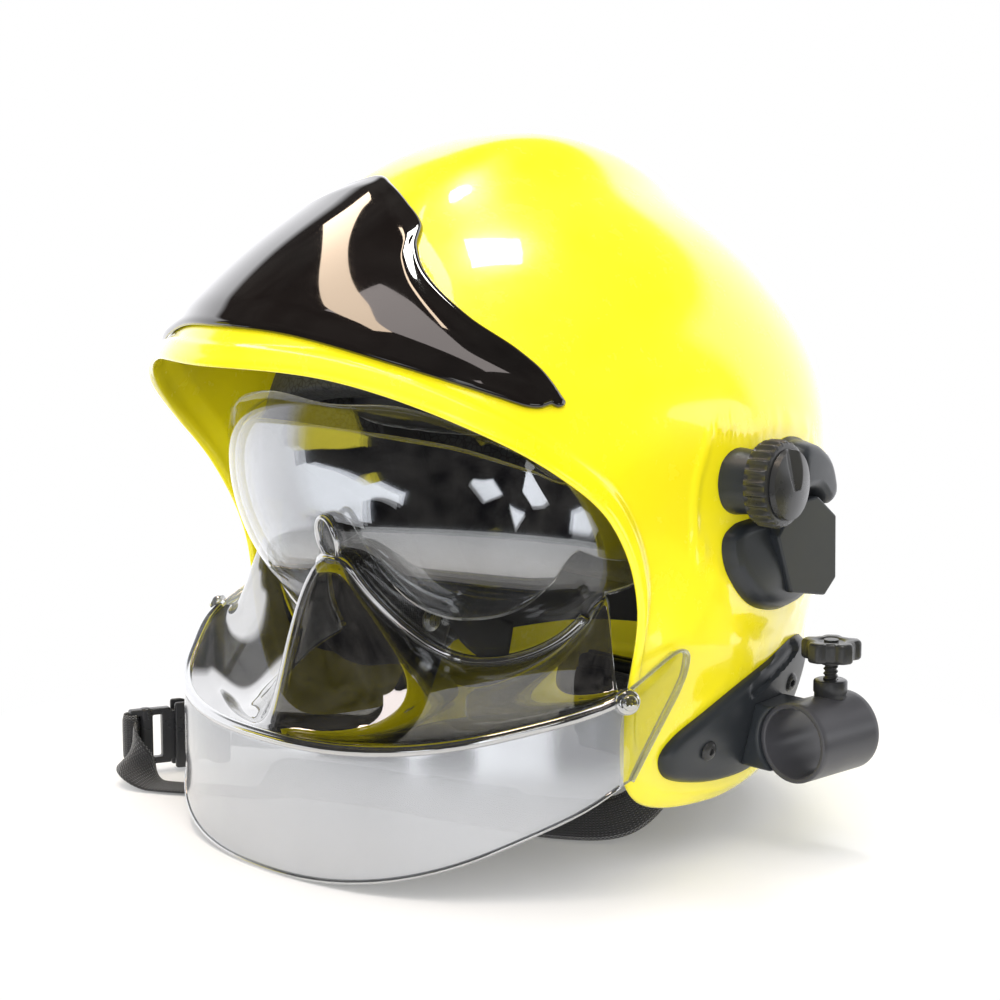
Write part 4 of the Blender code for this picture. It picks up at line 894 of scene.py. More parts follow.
def build_bracket_knob():
    """The ribbed grip: round-backed ribs that run out before each end, and a face cut in two facets."""
    centre = np.array([shell_x_at(KNOB_Y, KNOB_Z), KNOB_Y, KNOB_Z])
    low = centre + KNOB_AXIS * KNOB_LIFT
    profile = [(0.0, 0.0), (12.0, 0.0), (15.3, 0.2), (16.4, 0.8), (KNOB_R - 0.3, 1.9), (KNOB_R, 3.0),
               (KNOB_R, 5.5), (KNOB_R, 8.4), (KNOB_R - 0.3, 9.5), (16.4, 10.4), (15.2, 10.9),
               (14.4, KNOB_HIGH), (9.0, KNOB_HIGH), (0.0, KNOB_HIGH)]

    def ribs(r, h, a):
        valley = np.clip(0.5 - 0.5 * np.cos(a * KNOB_RIBS), 0, 1) ** 1.6
        run = ease((h - 0.6) / 1.6) * ease((10.3 - h) / 1.2)
        return r - 1.5 * (1 - valley) * run * (r > 14), h

    rows = [(0.0, 9.6), (11.8, 9.6), (12.5, 7.5), (13.5, -2.0), (0.0, -2.0)]
    seat = turned("bracket_knob_seat", rows, centre, KNOB_AXIS, SATIN, 64)
    finish_piece(seat, "shell")
    grip = turned("bracket_knob_grip", profile, low, KNOB_AXIS, KNOB_BLACK, 384, ribs)
    finish_piece(grip, "bracket_knob", ["bracket_knob"])
    ring = np.linspace(0, 14.1, 40)

    def facets(r, h, a):
        x, y = r * np.cos(a), r * np.sin(a)
        dome = 4.9 - 0.012 * r * r
        first = 3.4 - 0.42 * (x * 0.86 + y * 0.5)
        second = 3.4 + 0.42 * (x * 0.86 - y * 0.5)
        cutting = np.where(y > -2.0, np.minimum(dome, np.maximum(first, second)), dome)
        rim = 0.25 + 4.6 * np.sqrt(np.clip(1 - np.clip((r - 11.9) / 2.2, 0, 1) ** 2, 0, 1))
        return r, np.minimum(cutting, rim)

    face = turned("bracket_knob_facets", [(r, 0.0) for r in ring[::-1]], low + KNOB_AXIS * (KNOB_HIGH + 0.05),
                  KNOB_AXIS, KNOB_BLACK, 160, facets)
    finish_piece(face, "bracket_knob", ["bracket_knob_face"])


def build_side_plates():
    def groove(y, z, high, inward):
        """A long slot sunk into the upper arm of the plate, and a shallow dish at its wide end."""
        along = ((y - 45) * 0.93 + (z - 75) * 0.36)
        across = (-(y - 45) * 0.36 + (z - 75) * 0.93)
        reach = np.maximum(np.abs(along) - 17, 0) ** 2 + np.maximum(np.abs(across) - 2.0, 0) ** 2
        slot = 1.9 * ease(1.5 - np.sqrt(reach) / 1.1)
        dish = 1.3 * np.exp(-(((y - 14) / 13) ** 2 + ((z - 46) / 7) ** 2))
        return high - np.where(inward > 0.8, slot, 0) - dish

    def socket(r, h, a):
        hexed = r / np.maximum(np.cos((a + math.pi / 6) % (math.pi / 3) - math.pi / 6), 0.8)
        return np.where((r > 1.0) & (r < 1.4), hexed * 1.05, r), h

    profile = [(0, 0.5), (0.4, 1.8), (1.0, 3.0), (2.0, 4.1), (3.5, 4.9), (6, 5.3), (40, 5.6)]
    rows = [(0.0, 0.75), (1.3, 0.75), (1.35, 1.75), (2.6, 1.7), (3.5, 1.3), (4.1, 0.6), (4.2, 0.1),
            (0.0, 0.1)]
    for side, word in ((1, "left"), (-1, "right")):
        plate = side_dome(f"side_plate_{word}_moulded", PLATE_OUTLINE, 0.2, profile, SATIN, side, 34, groove)
        finish_piece(plate, "shell", [f"side_plate_{word}"])
        for n, (y, z) in enumerate(((6, 47), (60, 66))):
            x = shell_x_at(float(y), float(z), 5.0)
            screw = turned(f"plate_screw_{word}_{n + 1}_head", rows, (side * x, y, z),
                           (side * 0.985, 0.05, -0.17), KNOB_BLACK, 48, socket)
            finish_piece(screw, "shell", [f"plate_screw_{word}_{n + 1}"])


def on_clamp_screw(name, rows, height, mats, sides, body_and_painted_reflection, node, shape=None):
    """A turned piece on the clamp screw's axis, from a height over the tube."""
    piece = turned(name, rows, (TUBE_X, SCREW_Y, TUBE_Z + TUBE_RO + height), (0, 0, 1), mats, sides, shape)
    finish_piece(piece, body_and_painted_reflection, [node])


def build_torch_clamp():
    long = TUBE_Y1 - TUBE_Y0
    rows = [(TUBE_RO, long - 0.6), (TUBE_RO, long - 3), (TUBE_RO, long / 2), (TUBE_RO, 3), (TUBE_RO, 0.5),
            (TUBE_RO - 0.15, 0.15), (TUBE_RO - 0.5, 0.0), (TUBE_RI + 0.6, 0.0), (TUBE_RI + 0.15, 0.2),
            (TUBE_RI, 0.7), (TUBE_RI, long / 2), (TUBE_RI, long - 0.7), (TUBE_RI + 0.15, long - 0.2),
            (TUBE_RI + 0.6, long), (TUBE_RO - 0.5, long), (TUBE_RO - 0.15, long - 0.15)]
    tube = turned("torch_tube_turned", rows, (TUBE_X, TUBE_Y0, TUBE_Z), (0, 1, 0), TUBE_GREY, 160)
    finish_piece(tube, "shell", ["torch_tube"])
    rows = [(SCREW_R + 0.1, 6.2), (6.1, 6.3), (6.7, 6.0), (7.0, 5.4), (7.0, 1.4), (6.6, 0.9), (6.6, -1.2),
            (SCREW_R + 0.1, -0.6)]
    on_clamp_screw("clamp_collar", rows, 0.0, GLOVE_BLACK, 72, "shell", "clamp_boss")

    def thread(r, h, a):
        phase = (h / THREAD - a / (2 * math.pi)) % 1.0
        tooth = 1 - np.abs(2 * phase - 1)
        run = ease((h - 1.0) / 1.5) * ease((19.0 - h) / 0.6)
        return np.where(r > 1, r - 0.62 * (1 - np.clip(tooth * 1.4 - 0.2, 0, 1)) * run, r), h

    rows = [(0.0, 27.0)] + [(SCREW_R, h) for h in np.linspace(0, 27, 217)[::-1]] + [(0.0, 0.0)]
    on_clamp_screw("clamp_screw_threaded", rows, -4.0, KNOB_BLACK, 64, "clamp_screw", "clamp_screw", thread)

    def lobes(r, h, a):
        depth = 2.5 * np.clip(0.55 - 0.75 * np.cos(5 * a), 0, 1) ** 1.3
        return np.where(r > 9, r - depth, r), h

    rows = [(3.0, -2.0), (3.9, -1.9), (4.1, -1.5), (4.1, -0.4), (9.6, -0.2), (11.6, 0.1), (12.2, 0.7),
            (12.4, 1.6), (12.4, 6.4), (12.2, 7.3), (11.6, 7.9), (9.5, 8.0), (6.0, 8.0), (5.4, 7.5),
            (4.6, 7.4), (0.0, 7.4)]
    on_clamp_screw("clamp_knob_lobed", rows, 14.6, KNOB_BLACK, 160, "clamp_screw", "clamp_knob", lobes)
    rows = [(0.0, 2.0), (4.0, 2.0), (4.6, 1.5), (4.6, 0.4), (4.2, 0.0), (0.0, 0.0)]
    on_clamp_screw("clamp_pad_turned", rows, -6.3, INNER_BLACK, 48, "clamp_pad", "clamp_pad")
    ys = np.linspace(31.0, 55.0, 13)
    zs = np.linspace(TUBE_Z - 13.5, TUBE_Z + 13.5, 19)
    y, z = np.meshgrid(ys, zs, indexing="ij")
    reach = np.sqrt(np.maximum((TUBE_RO - 0.1) ** 2 - (z - TUBE_Z) ** 2, 0))
    outer = TUBE_X - reach
    inner = np.minimum(shell_x(y, z, 4.6), outer - 1.0)
    points, faces = slab_of(np.stack([inner, y, z], -1), np.stack([outer, y, z], -1))
    block = soften(mesh_piece("torch_block", points, faces, SATIN, smooth=False), 1.4, 3, 40)
    finish_piece(block, "shell", ["torch_bracket"])


def build_studs():
    rows = [(0.0, 4.6), (1.5, 4.6), (1.8, 5.2), (2.6, 5.3), (3.6, 4.6), (4.3, 3.4), (4.6, 1.9), (4.6, 0.4),
            (0.0, 0.4)]
    for turn, word in ((STUD_TURN, "left"), (-STUD_TURN, "right")):
        spot, deeper = (shell_point(np.array([turn]), np.array([STUD_ALONG]), -SHELL_T - d)[0]
                        for d in (0, 5))
        normal = spot - deeper
        normal /= -np.linalg.norm(normal)
        stud = turned(f"brim_stud_{word}_turned", rows, spot, normal, STUD_CLEAR, 48)
        finish_piece(stud, "shell", [f"brim_stud_{word}"])


# ================================================================ shield fittings
def build_shield_fittings():
    """The bosses where the band meets the side panels, the rolled edges, and the loop over the nose."""
    _, shelf, bead, band, panels = SHIELD

    def fitting(name, path, radius, mats, sides, **settings):
        finish_piece(tube_along(name, path, radius, mats, sides, **settings), "face_shield")

    rows = [(0.0, 4.8), (2.4, 4.8), (3.0, 4.2), (3.2, 3.4), (4.2, 3.2), (4.9, 2.4), (5.2, 1.0), (5.2, -0.4),
            (0.0, -0.4)]
    for index, side, word in ((0, -1, "right"), (-1, 1, "left")):
        at = bead[index][-1] + np.array([side * 0.6, 0.5, 0.5])
        out = np.array([side * 0.92, -0.38, 0.08])
        boss = turned(f"shield_corner_boss_{word}", rows, at, out, BEAD_CLEAR, 40)
        finish_piece(boss, "face_shield")
        edge = panels[index]
        border = np.concatenate([edge[:, 0], edge[-1][1:]])
        line = smooth_path(border[::4] + np.array([side * 1.6, 0, 0]) * 0.45, 120)
        fitting(f"shield_corner_edge_{word}", line, 0.8, STUD_CLEAR, 10, up=(side, 0, 0))
    fitting("shield_foot_edge", band[:, -1][::3] + np.array([0, 0, 0.8]), 0.9, BEAD_CLEAR, 10)
    ahead = bead[:, 0] - np.array([0, RIM_C_Y, 0])
    ahead[:, 2] = 0
    ahead /= np.linalg.norm(ahead, axis=1)[:, None]
    rim = bead[::2, 0] + ahead[::2] * 0.9 - np.array([0, 0, 0.9])
    fitting("shield_rim_bead", rim, 2.5, BEAD_CLEAR, 20)
    fitting("shield_sill_roll", shelf[6:-6:2, 0] + np.array([0, -0.9, -0.4]), 2.3, BEAD_CLEAR, 20)
    turn = np.linspace(0, 2 * math.pi, 49)[:-1]
    path = visor_point(5.6 * np.cos(turn), -16.5 + 5.6 * np.sin(turn), FS_HALF, FS_R + 0.9)
    fitting("shield_nose_loop", path, 1.3, BEAD_CLEAR, 12, closed=True, up=(0, -1, 0.3))


# ================================================================ straps and buckle
def flat_normals(path):
    t = np.gradient(path, axis=0)
    return np.stack([-t[:, 1], t[:, 0], 0 * t[:, 0]], -1)


def build_straps():
    end = BUCKLE_C + BUCKLE_DIR * 29.6
    right = smooth_path([(-88.8, 52, 66), (-89, 42, 46), (-93, 31, 22), (-104, 22, 10.2), (-120, 8, STRAP_Z),
                         (-131, -12, 12), end + BUCKLE_DIR * 8 + np.array([0, 0, -1.5]), end], 110)
    loop_side = BUCKLE_C + BUCKLE_DIR * BAR - BUCKLE_SIDE * 5.0
    left = smooth_path([(88.8, 52, 66), (89, 36, 50), (87, 18, 28), (79, 0, 13), (56, -16, STRAP_Z),
                        (12, -30, STRAP_Z), (-40, -44, STRAP_Z), (-90, -66, STRAP_Z), (-122, -86, STRAP_Z),
                        (-138, -92, STRAP_Z), loop_side], 180)
    rise = ease(1 - np.linalg.norm(left[:, :2] - loop_side[:2], axis=1) / 24)
    tip = np.radians(90) * ease((-52 - left[:, 0]) / 40) * (1 - rise)
    lying = STRAP_FLAT_Z + (STRAP_Z - STRAP_FLAT_Z) * np.cos(tip)
    left[:, 2] = np.where(left[:, 0] < 0, lying * (1 - rise) + BUCKLE_C[2] * rise, left[:, 2])
    left_normals = flat_normals(left) * np.cos(tip)[:, None] + np.array([0, 0, 1.0]) * np.sin(tip)[:, None]
    for _ in range(3):  # no edge of the ribbon sinks into the floor
        across = np.cross(np.gradient(left, axis=0), left_normals)
        drop = np.abs(across[:, 2]) / np.linalg.norm(across, axis=1) * STRAP_WIDE / 2
        left[:, 2] = np.where(left[:, 0] < 0, np.maximum(left[:, 2], drop + STRAP_LOW), left[:, 2])
    web = strap("chin_webbing_right", right, STRAP_WIDE, STRAP_T, flat_normals(right), WEBBING)
    finish_piece(web, "shell", ["chin_strap_right"])
    web = strap("chin_webbing_left", left, STRAP_WIDE, STRAP_T, left_normals, WEBBING)
    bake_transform(web)
    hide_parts("chin_strap_left")
    turn = np.linspace(math.radians(12), math.radians(285), 60)
    loop = (BUCKLE_C + BUCKLE_DIR * (BAR + 3.9 * np.cos(turn))[:, None]
            + BUCKLE_SIDE * (3.9 * np.sin(turn))[:, None])
    out = loop - (BUCKLE_C + BUCKLE_DIR * BAR)
    web = strap("buckle_webbing_loop", loop, STRAP_WIDE + 4.5, STRAP_T + 0.2, out, WEBBING)
    finish_piece(web, "buckle_male", ["webbing_loop"])
    a = np.linspace(math.radians(6), math.pi - math.radians(6), 90)
    for name, path, out in (
            ("cross", np.stack([79 * np.cos(a), 34 + 0 * a, 166 + 53 * np.sin(a)], -1),
             np.stack([np.cos(a), 0 * a, np.sin(a)], -1)),
            ("long", np.stack([0 * a, 36 - 74 * np.cos(a), 182 + 29 * np.sin(a)], -1),
             np.stack([0 * a, -np.cos(a), 1.5 * np.sin(a)], -1))):
        web = strap(f"crown_webbing_{name}", path, 20, 1.4, out, LINING)
        finish_piece(web, "shell", [f"crown_strap_{name}"])


def plate_from(name, outline, thick, holes, round_mm):
    """A bevelled plate of the buckle from flat outlines, in its own XY plane."""
    curve = bpy.data.curves.new(name, "CURVE")
    curve.dimensions = "2D"
    curve.fill_mode = "BOTH"
    curve.extrude = (thick / 2 - round_mm) * MM
    curve.bevel_depth = round_mm * MM
    curve.bevel_resolution = 3
    curve.offset = -round_mm * MM
    for ring in [outline, *holes]:
        line = curve.splines.new("POLY")
        line.points.add(len(ring) - 1)
        for point, (x, y) in zip(line.points, ring):
            point.co = (x * MM, y * MM, 0.0, 1.0)
        line.use_cyclic_u = True
    draft = place(name + "_draft", curve)
    mesh = applied(draft)
    bpy.data.objects.remove(draft)
    mesh.materials.clear()
    mesh.materials.append(GLOVE_BLACK)
    return sharp_smooth(place(name, mesh), 38)


def buckle_frame(shift, lift=0.0):
    d, n = BUCKLE_DIR, BUCKLE_SIDE
    turn = Matrix(((d[0], 0, n[0]), (d[1], 0, n[1]), (0, 1, 0))).to_4x4()
    return Matrix.Translation(Vector(BUCKLE_C + d * shift + n * lift) * MM) @ turn


def corner_round(points, radius):
    """A polygon with each corner rounded."""
    p = np.asarray(points, float)
    n, out = len(p), []
    for i in range(n):
        a, b, c = p[i - 1], p[i], p[(i + 1) % n]
        u, v = a - b, c - b
        lu, lv = np.linalg.norm(u), np.linalg.norm(v)
        r = min(radius, lu * 0.45, lv * 0.45)
        start, stop = b + u / lu * r, b + v / lv * r
        for t in np.linspace(0, 1, 4):
            out.append((1 - t) ** 2 * start + 2 * t * (1 - t) * b + t * t * stop)
    return np.array(out)


def build_buckle():
    """A side-release buckle: a three-pronged male half, and a waisted female half with side windows."""
    half = [(BAR - 1.5, 13), (-1.0, 13), (-1.0, 11.4), (7.6, 11.9), (8.6, 12.2), (14.2, 10.4), (15.4, 8.2),
            (5, 7.8), (1.5, 6.2), (1.5, 2.2), (15.6, 1.7)]
    outline = corner_round([(x, -y) for x, y in half] + half[::-1], 1.3)
    slots = [corner_round([(x, -10), (x + 4.6, -10), (x + 4.6, 10), (x, 10)], 0.9)
             for x in (BAR + 1.5, BAR + 9)]

    def plate(name, ring, thick, round_mm, shift, body_and_painted_reflection, lift=0.0, holes=(), node=()):
        obj = plate_from(name, ring, thick, holes, round_mm)
        obj.matrix_world = buckle_frame(shift, lift)
        finish_piece(obj, body_and_painted_reflection, node)

    plate("buckle_prongs", outline, 4.6, 0.6, 0.0, "buckle_male", holes=slots, node=["buckle_male"])
    bar = corner_round([(-3.2, -13.4), (2.6, -13.4), (2.6, 13.4), (-3.2, 13.4)], 2.0)
    plate("buckle_adjuster_bar", bar, 5.6, 1.5, BAR + 6.6, "buckle_male")
    waist = [(0.3, 15.4), (5, 15.5), (8, 14.6), (10.8, 12.8), (14, 12.4), (17.0, 14.0), (20, 15.3),
             (25.4, 15.5), (26.6, 13.5)]
    cheek = corner_round([(x, -y) for x, y in waist] + waist[::-1], 1.2)
    plate("buckle_socket_outer", cheek, 2.2, 0.7, 0.2, "shell", 3.9, node=["buckle_female"])
    plate("buckle_socket_inner", cheek, 2.2, 0.7, 0.2, "shell", -3.9)
    for sign, word in ((1, "top"), (-1, "bottom")):
        rail = [(16.5, sign * 12.6), (26.4, sign * 12.8), (26.4, sign * 15.2), (19, sign * 15.0)]
        plate(f"buckle_rail_{word}", corner_round(rail, 0.6), 5.8, 0.4, 0.2, "shell")
    floor = corner_round([(17, -4), (26.4, -11), (26.4, 11), (17, 4)], 1.0)
    plate("buckle_socket_floor", floor, 5.8, 0.4, 0.2, "shell")


# ================================================================ inside
def liner_radius(d):
    up = np.degrees(np.arctan2(d[..., 2], -d[..., 1]))
    reach = mix(LINER["front"], LINER["rear"], np.clip(d[..., 1] * 1.5 - 0.1, -1, 1))
    crown = LINER["up_front"] + (LINER["up"] - LINER["up_front"]) * ease((up - 62) / 40)
    rise = mix(LINER["down"], crown, np.clip(d[..., 2] * 2.5 + 0.2, -1, 1))
    front_low = (d[..., 2] < 0) & (d[..., 1] < 0)
    rise = np.where(front_low, mix(LINER["front"], rise, np.clip(d[..., 1] * 2 + 1, -1, 1)), rise)
    ring = np.sqrt((d[..., 1] / reach) ** 2 + (d[..., 2] / rise) ** 2)
    return ((np.abs(d[..., 0]) / LINER["half"]) ** FS_POWER + ring ** FS_POWER) ** (-1 / FS_POWER)


def liner_point(turn, along, off=0.0):
    d = heading(turn, along * spline(LINER_EDGE, turn))
    return PIVOT + (liner_radius(d) + off)[..., None] * d


def build_liner():
    turns = np.linspace(-180, 180, 181)[:-1]
    outer = np.concatenate([np.linspace(0, 0.985, 44), [0.994, 0.999]])
    inner = np.concatenate([[0.999, 0.994], np.linspace(0.985, 0, 44)])
    thick = LINER["thick"]
    down_out = np.concatenate([np.zeros(44), [0.6, 2.2]])
    down_in = np.concatenate([[thick - 2.2, thick - 0.6], np.full(44, thick)])
    t, a = np.meshgrid(turns, outer, indexing="ij")
    out = liner_point(t, a, -down_out[None])
    t, a = np.meshgrid(turns, inner, indexing="ij")
    channels = (1.8 * np.exp(-((((t + 360) % 45) - 22.5) / 2.6) ** 2) * ease((a - 0.25) / 0.2)
                * ease((0.96 - a) / 0.06))
    inside = liner_point(t, a, -(down_in[None] - channels))
    obj = closed_bowl("liner_moulded", np.concatenate([out, inside], 1), FOAM)
    finish_piece(obj, "shell", ["impact_liner"])


def build_headband():
    angles = np.linspace(-126, 126, 160)
    a = np.radians(angles)
    z = 184 - 134 * ease((np.abs(angles) - 60) / 70)
    path = np.stack([BAND_HALF * np.sin(a), 30 - BAND_DEEP * np.cos(a), z], -1)
    face = np.stack([np.sin(a) / BAND_HALF, -np.cos(a) / BAND_DEEP, 0 * a], -1)
    band = strap("headband_moulded", path, 22, 1.6, face, INNER_BLACK)
    finish_piece(band, "shell", ["headband"])


# ================================================================ padded pieces
CLOTH_STEPS = 16


def puffed(name, node, voxel, pressure, cap, shrink):
    """A cushion from its CAD solid: remeshed, inflated a little as cloth, capped, then subdivided once."""
    source = NODES[node].data
    points = np.array([v.co for v in source.vertices], float)
    mesh = source.copy()
    mesh.name = name
    mesh.materials.clear()
    obj = place(name, mesh)
    middle = points.mean(0)
    move = (points - middle) * (1 - shrink) + middle
    mesh.vertices.foreach_set("co", move.astype(np.float32).ravel())
    mod = obj.modifiers.new("remesh", "REMESH")
    mod.mode = "VOXEL"
    mod.voxel_size = voxel * MM
    mod.use_smooth_shade = True
    relax = obj.modifiers.new("relax", "SMOOTH")
    relax.iterations = 4
    bake_mesh(obj)
    rest = coords(obj)
    cloth = obj.modifiers.new("cloth", "CLOTH")
    settings = cloth.settings
    settings.quality = 5
    settings.mass = 0.15
    settings.use_pressure = True
    settings.uniform_pressure_force = pressure
    settings.effector_weights.gravity = 0.0
    settings.tension_stiffness = settings.compression_stiffness = 20
    settings.bending_stiffness = 1.0
    cloth.point_cache.frame_start, cloth.point_cache.frame_end = 1, CLOTH_STEPS
    scene = bpy.context.scene
    for step in range(1, CLOTH_STEPS + 1):
        scene.frame_set(step)
        bpy.context.view_layer.update()
    bake_mesh(obj)
    scene.frame_set(1)
    moved = coords(obj) - rest
    far = np.linalg.norm(moved, axis=1)
    scale = np.minimum(1, cap * MM / np.maximum(far, 1e-9))
    obj.data.vertices.foreach_set("co", (rest + moved * scale[:, None]).astype(np.float32).ravel())
    obj.data.update()
    fine = obj.modifiers.new("fine", "SUBSURF")
    fine.levels = fine.render_levels = 1
    bake_mesh(obj)
    obj.data.materials.append(PAD_KNIT)
    obj.data.shade_smooth()
    return obj


def coords(obj):
    co = np.empty(len(obj.data.vertices) * 3, np.float32)
    obj.data.vertices.foreach_get("co", co)
    return co.reshape(-1, 3).astype(float)


def bake_mesh(obj):
    """The object's mesh with its modifiers applied."""
    mesh, old = applied(obj), obj.data
    obj.modifiers.clear()
    obj.data = mesh
    bpy.data.meshes.remove(old)


def build_pads():
    for name, node, voxel, pressure, cap, shrink, fill in (
            ("brow_cushion", "brow_pad", 2.6, 2.0, 1.6, 0.008, 0.6),
            ("crown_cushion", "crown_pad", 3.0, 2.0, 1.8, 0.02, 0.5),
            ("cheek_cushion_left", "cheek_pad_left", 3.4, 3.0, 2.2, 0.03, 0.7),
            ("cheek_cushion_right", "cheek_pad_right", 3.4, 3.0, 2.2, 0.03, 0.7),
            ("nape_cushion", "nape_pad", 3.0, 3.0, 1.5, 0.03, 0.7),
            ("chin_cushion", "chin_cup", 1.8, 2.0, 0.8, 0.01, 0.6)):
        pad = puffed(name, node, voxel, pressure, cap, shrink)
        finish_piece(pad, "shell", [node])


# ================================================================ CAD nodes that stay
def dress_cad_nodes():
    """The nodes whose CAD shape is right keep it, with their own finish and, on most, a fine bevel."""
    finishes = {
        "nape_housing": (SATIN, 0), "nape_cover": (SATIN, 0.4), "ratchet_knob": (KNOB_BLACK, 0.35),
        "ratchet_shaft": (STEEL, 0.2), "ratchet_pinion": (RACK_GREY, 0), "rack_left": (RACK_GREY, 0.1),
        "rack_right": (RACK_GREY, 0.1), "shield_hub_left": (SATIN, 0.4), "shield_hub_right": (SATIN, 0.4),
        "ocular_hub_left": (SATIN, 0.4), "ocular_hub_right": (SATIN, 0.4), "pivot_pin_left": (STEEL, 0.2),
        "pivot_pin_right": (STEEL, 0.2), "pivot_clip_left": (STEEL, 0.2), "pivot_clip_right": (STEEL, 0.2),
        "strap_anchor_left": (STEEL, 0.2), "strap_anchor_right": (STEEL, 0.2)}
    for node, (mat, width) in finishes.items():
        obj = NODES[node]
        obj.data.materials.clear()
        obj.data.materials.append(mat)
        if width:
            soften(obj, width, 2, 40)


# ================================================================ studio
def area_light(name, wide, high, watts, colour):
    data = bpy.data.lights.new(name, "AREA")
    data.shape = "RECTANGLE"
    data.size, data.size_y = wide, high
    data.energy = watts
    data.color = colour
    obj = place(name, data)
    obj.visible_camera = False
    return obj


def soft_light(name, az, rise, far, wide, high, watts, colour):
    """A soft box round the helmet, given by its direction and distance, that no gloss mirrors."""
    obj = area_light(name, wide, high, watts, colour)
    a, e = math.radians(az), math.radians(rise)
    way = Vector((math.sin(a) * math.cos(e), -math.cos(a) * math.cos(e), math.sin(e)))
    obj.location = Vector(LIGHT_AIM) + way * far
    obj.rotation_euler = (Vector(LIGHT_AIM) - obj.location).to_track_quat("-Z", "Y").to_euler()
    obj.visible_glossy = False


def ceiling_light(name, centre, long, wide, spin, shine, colour):
    """A flat ceiling panel, given by its middle and size in metres; shine is its radiance."""
    obj = area_light(name, long, wide, shine * math.pi * long * wide, colour)
    obj.location = centre
    obj.rotation_euler = (0, 0, math.radians(spin))


def emitter(name, colour, strength):
    mat, tree = unshaded(name)
    surface(tree, add(tree, "ShaderNodeEmission", {"Color": (*colour, 1.0), "Strength": strength}).outputs[0])
    return mat


def build_room():
    """The floor, a pale surround, and the dim room that the glossy parts mirror."""
    bpy.ops.mesh.primitive_circle_add(vertices=96, radius=FLOOR_R, fill_type="NGON", location=(0, 0, -0.0002))
    floor = bpy.context.object
    floor.name = "studio_floor"
    mat, tree, shader = blank("floor_paper", (0.93, 0.93, 0.93), 0.7)
    where = here(tree)
    tone = two_tone(tree, noise(tree, where, 3.0), (0.92, 0.92, 0.925), (0.95, 0.95, 0.95))
    wire(tree, shader, Base_Color=tone)
    away = add(tree, "ShaderNodeVectorMath", {0: where}, operation="LENGTH").outputs["Value"]
    glow = add(tree, "ShaderNodeEmission", {"Color": (1, 1, 1, 1), "Strength": 1.0}).outputs[0]
    fade = spread(tree, away, 0.15, 1, 0.14, FLOOR_R - 0.02)
    surface(tree, mix_shaders(tree, fade, shader.outputs[0], glow))
    floor.data.materials.append(mat)
    bpy.ops.mesh.primitive_uv_sphere_add(segments=48, ring_count=24, radius=5.5, location=(0, 0, 0))
    dome = bpy.context.object
    dome.name = "studio_surround"
    dome.data.materials.append(emitter("surround_white", (1, 1, 1), 1.0))
    dome.visible_glossy = dome.visible_diffuse = dome.visible_shadow = False
    dome.visible_transmission = dome.visible_volume_scatter = False

    world = bpy.data.worlds.new("studio_room")
    bpy.context.scene.world = world
    world.use_nodes = True
    tree = world.node_tree
    back = tree.nodes["Background"]
    way = add(tree, "ShaderNodeTexCoord").outputs["Generated"]
    axes = add(tree, "ShaderNodeSeparateXYZ", {"Vector": way})
    cells = add(tree, "ShaderNodeTexVoronoi", {"Vector": way, "Scale": 4.2, "Randomness": 0.85})
    pick = add(tree, "ShaderNodeSeparateColor", {"Color": cells.outputs["Color"]})
    drift = noise(tree, way, 5.0, 4.0)
    room = two_tone(tree, spread(tree, drift, 0, 1), (0.012, 0.012, 0.014), (0.09, 0.085, 0.08))
    height = maths(tree, "ABSOLUTE", maths(tree, "ADD", axes.outputs[2], 0.12))
    lit = maths(tree, "MULTIPLY", spread(tree, pick.outputs[0], 0, 1, 0.72, 0.75),
                spread(tree, height, 1, 0, 0.34, 0.40))
    pane = spread(tree, pick.outputs[1], 0, 1, 0.50, 0.55)
    pane = two_tone(tree, pane, (2.0, 2.05, 2.15), (1.1, 0.95, 0.10))
    walls = two_tone(tree, lit, room, pane)
    behind = add(tree, "ShaderNodeVectorMath", {0: way, 1: (-0.72, 0.69, 0.0)}, operation="DOT_PRODUCT")
    sweep = maths(tree, "MULTIPLY", spread(tree, behind.outputs["Value"], 0, 1, 0.18, 0.28),
                  spread(tree, axes.outputs[2], 1, 0, 0.53, 0.59))
    wire(tree, back, Color=two_tone(tree, sweep, walls, (1.5, 1.5, 1.54)))
    back.inputs["Strength"].default_value = 1.0


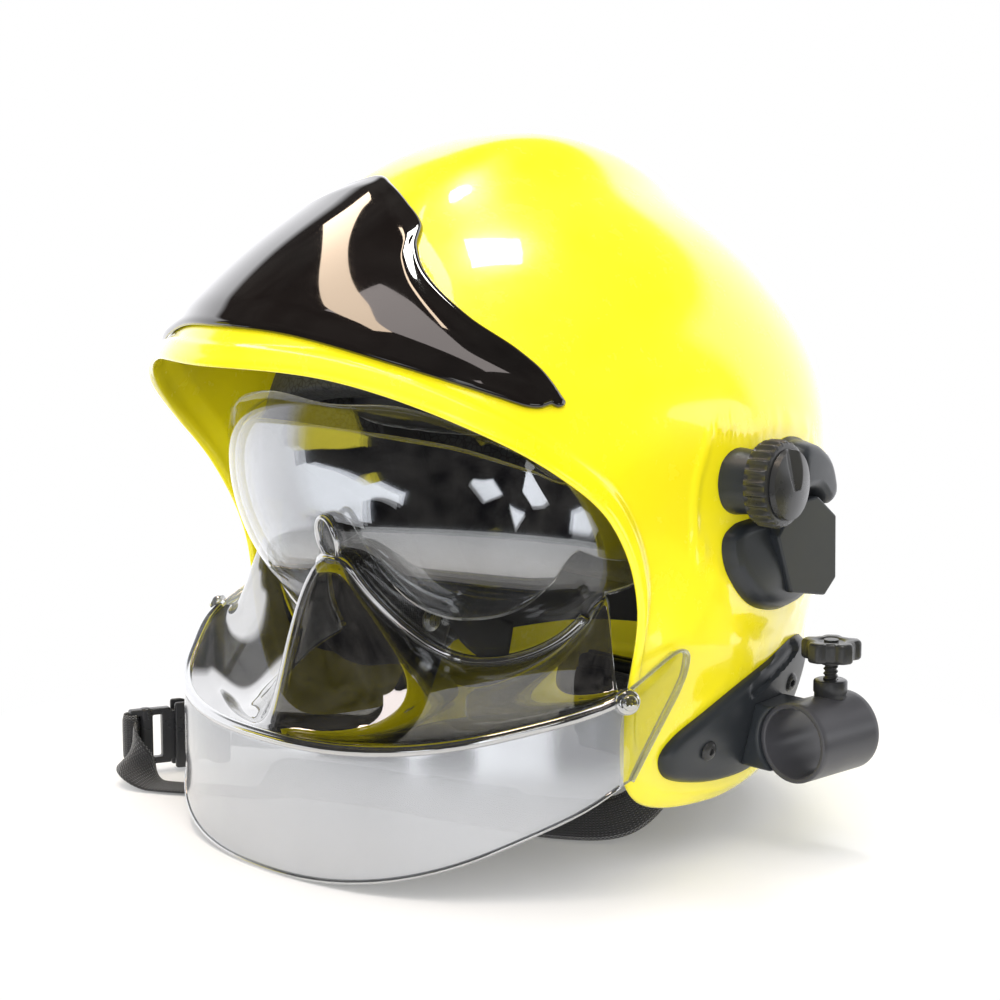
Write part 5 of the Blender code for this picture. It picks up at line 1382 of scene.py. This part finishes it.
def build_lights():
    for name, az, rise, far, wide, high, watts, colour in (
            ("key_overhead", 30, 72, 1.9, 2.6, 2.2, 34, (1, 0.99, 0.97)),
            ("fill_front", 40, 18, 2.2, 2.4, 1.6, 22, (1, 1, 1)),
            ("fill_low", 20, 2, 1.7, 2.2, 0.5, 13, (1, 1, 1)),
            ("fill_left", 120, 25, 2.2, 2.0, 1.6, 11, (1, 1, 1)),
            ("fill_right", -60, 25, 2.2, 2.0, 1.6, 9, (1, 1, 1)),
            ("fill_back", 215, 30, 2.2, 2.4, 1.6, 10, (1, 1, 1))):
        soft_light(name, az, rise, far, wide, high, watts, colour)
    for name, centre, long, wide, spin, shine, colour in (
            ("ceiling_window", (-0.07, 0.35, 1.65), 0.27, 0.27, 60, 26, (1.0, 1.0, 0.97)),
            ("ceiling_strip_long", (-0.66, -0.10, 1.64), 1.95, 0.15, -34, 7.5, (1.0, 0.78, 0.58)),
            ("ceiling_strip_short", (-0.02, -0.02, 1.64), 0.85, 0.07, -27, 10, (1.0, 0.78, 0.58)),
            ("ceiling_panel", (0.62, -0.46, 1.64), 1.7, 0.30, -6, 3.0, (0.8, 0.72, 0.70))):
        ceiling_light(name, centre, long, wide, spin, shine, colour)


def build_camera():
    data = bpy.data.cameras.new("camera")
    data.lens, data.sensor_width = LENS_MM, SENSOR_MM
    camera = place("camera", data)
    a, e = math.radians(CAMERA_TURN), math.radians(CAMERA_RISE)
    back = np.array([math.sin(a) * math.cos(e), -math.cos(a) * math.cos(e), math.sin(e)])
    right = np.array([math.cos(a), math.sin(a), 0.0])
    camera.location = Vector(CAMERA_AIM + back * CAMERA_FAR + right * CAMERA_SIDE) * MM
    camera.rotation_euler = (-Vector(back)).to_track_quat("-Z", "Y").to_euler()
    data.clip_start, data.clip_end = 0.02, 30.0
    bpy.context.scene.camera = camera


build_side_bracket()
build_bracket_knob()
build_side_plates()
build_torch_clamp()
build_studs()
build_shield_fittings()
build_straps()
build_buckle()
build_liner()
build_headband()
build_pads()
dress_cad_nodes()
build_room()
build_lights()
build_camera()
bpy.context.scene.view_settings.view_transform = "Standard"
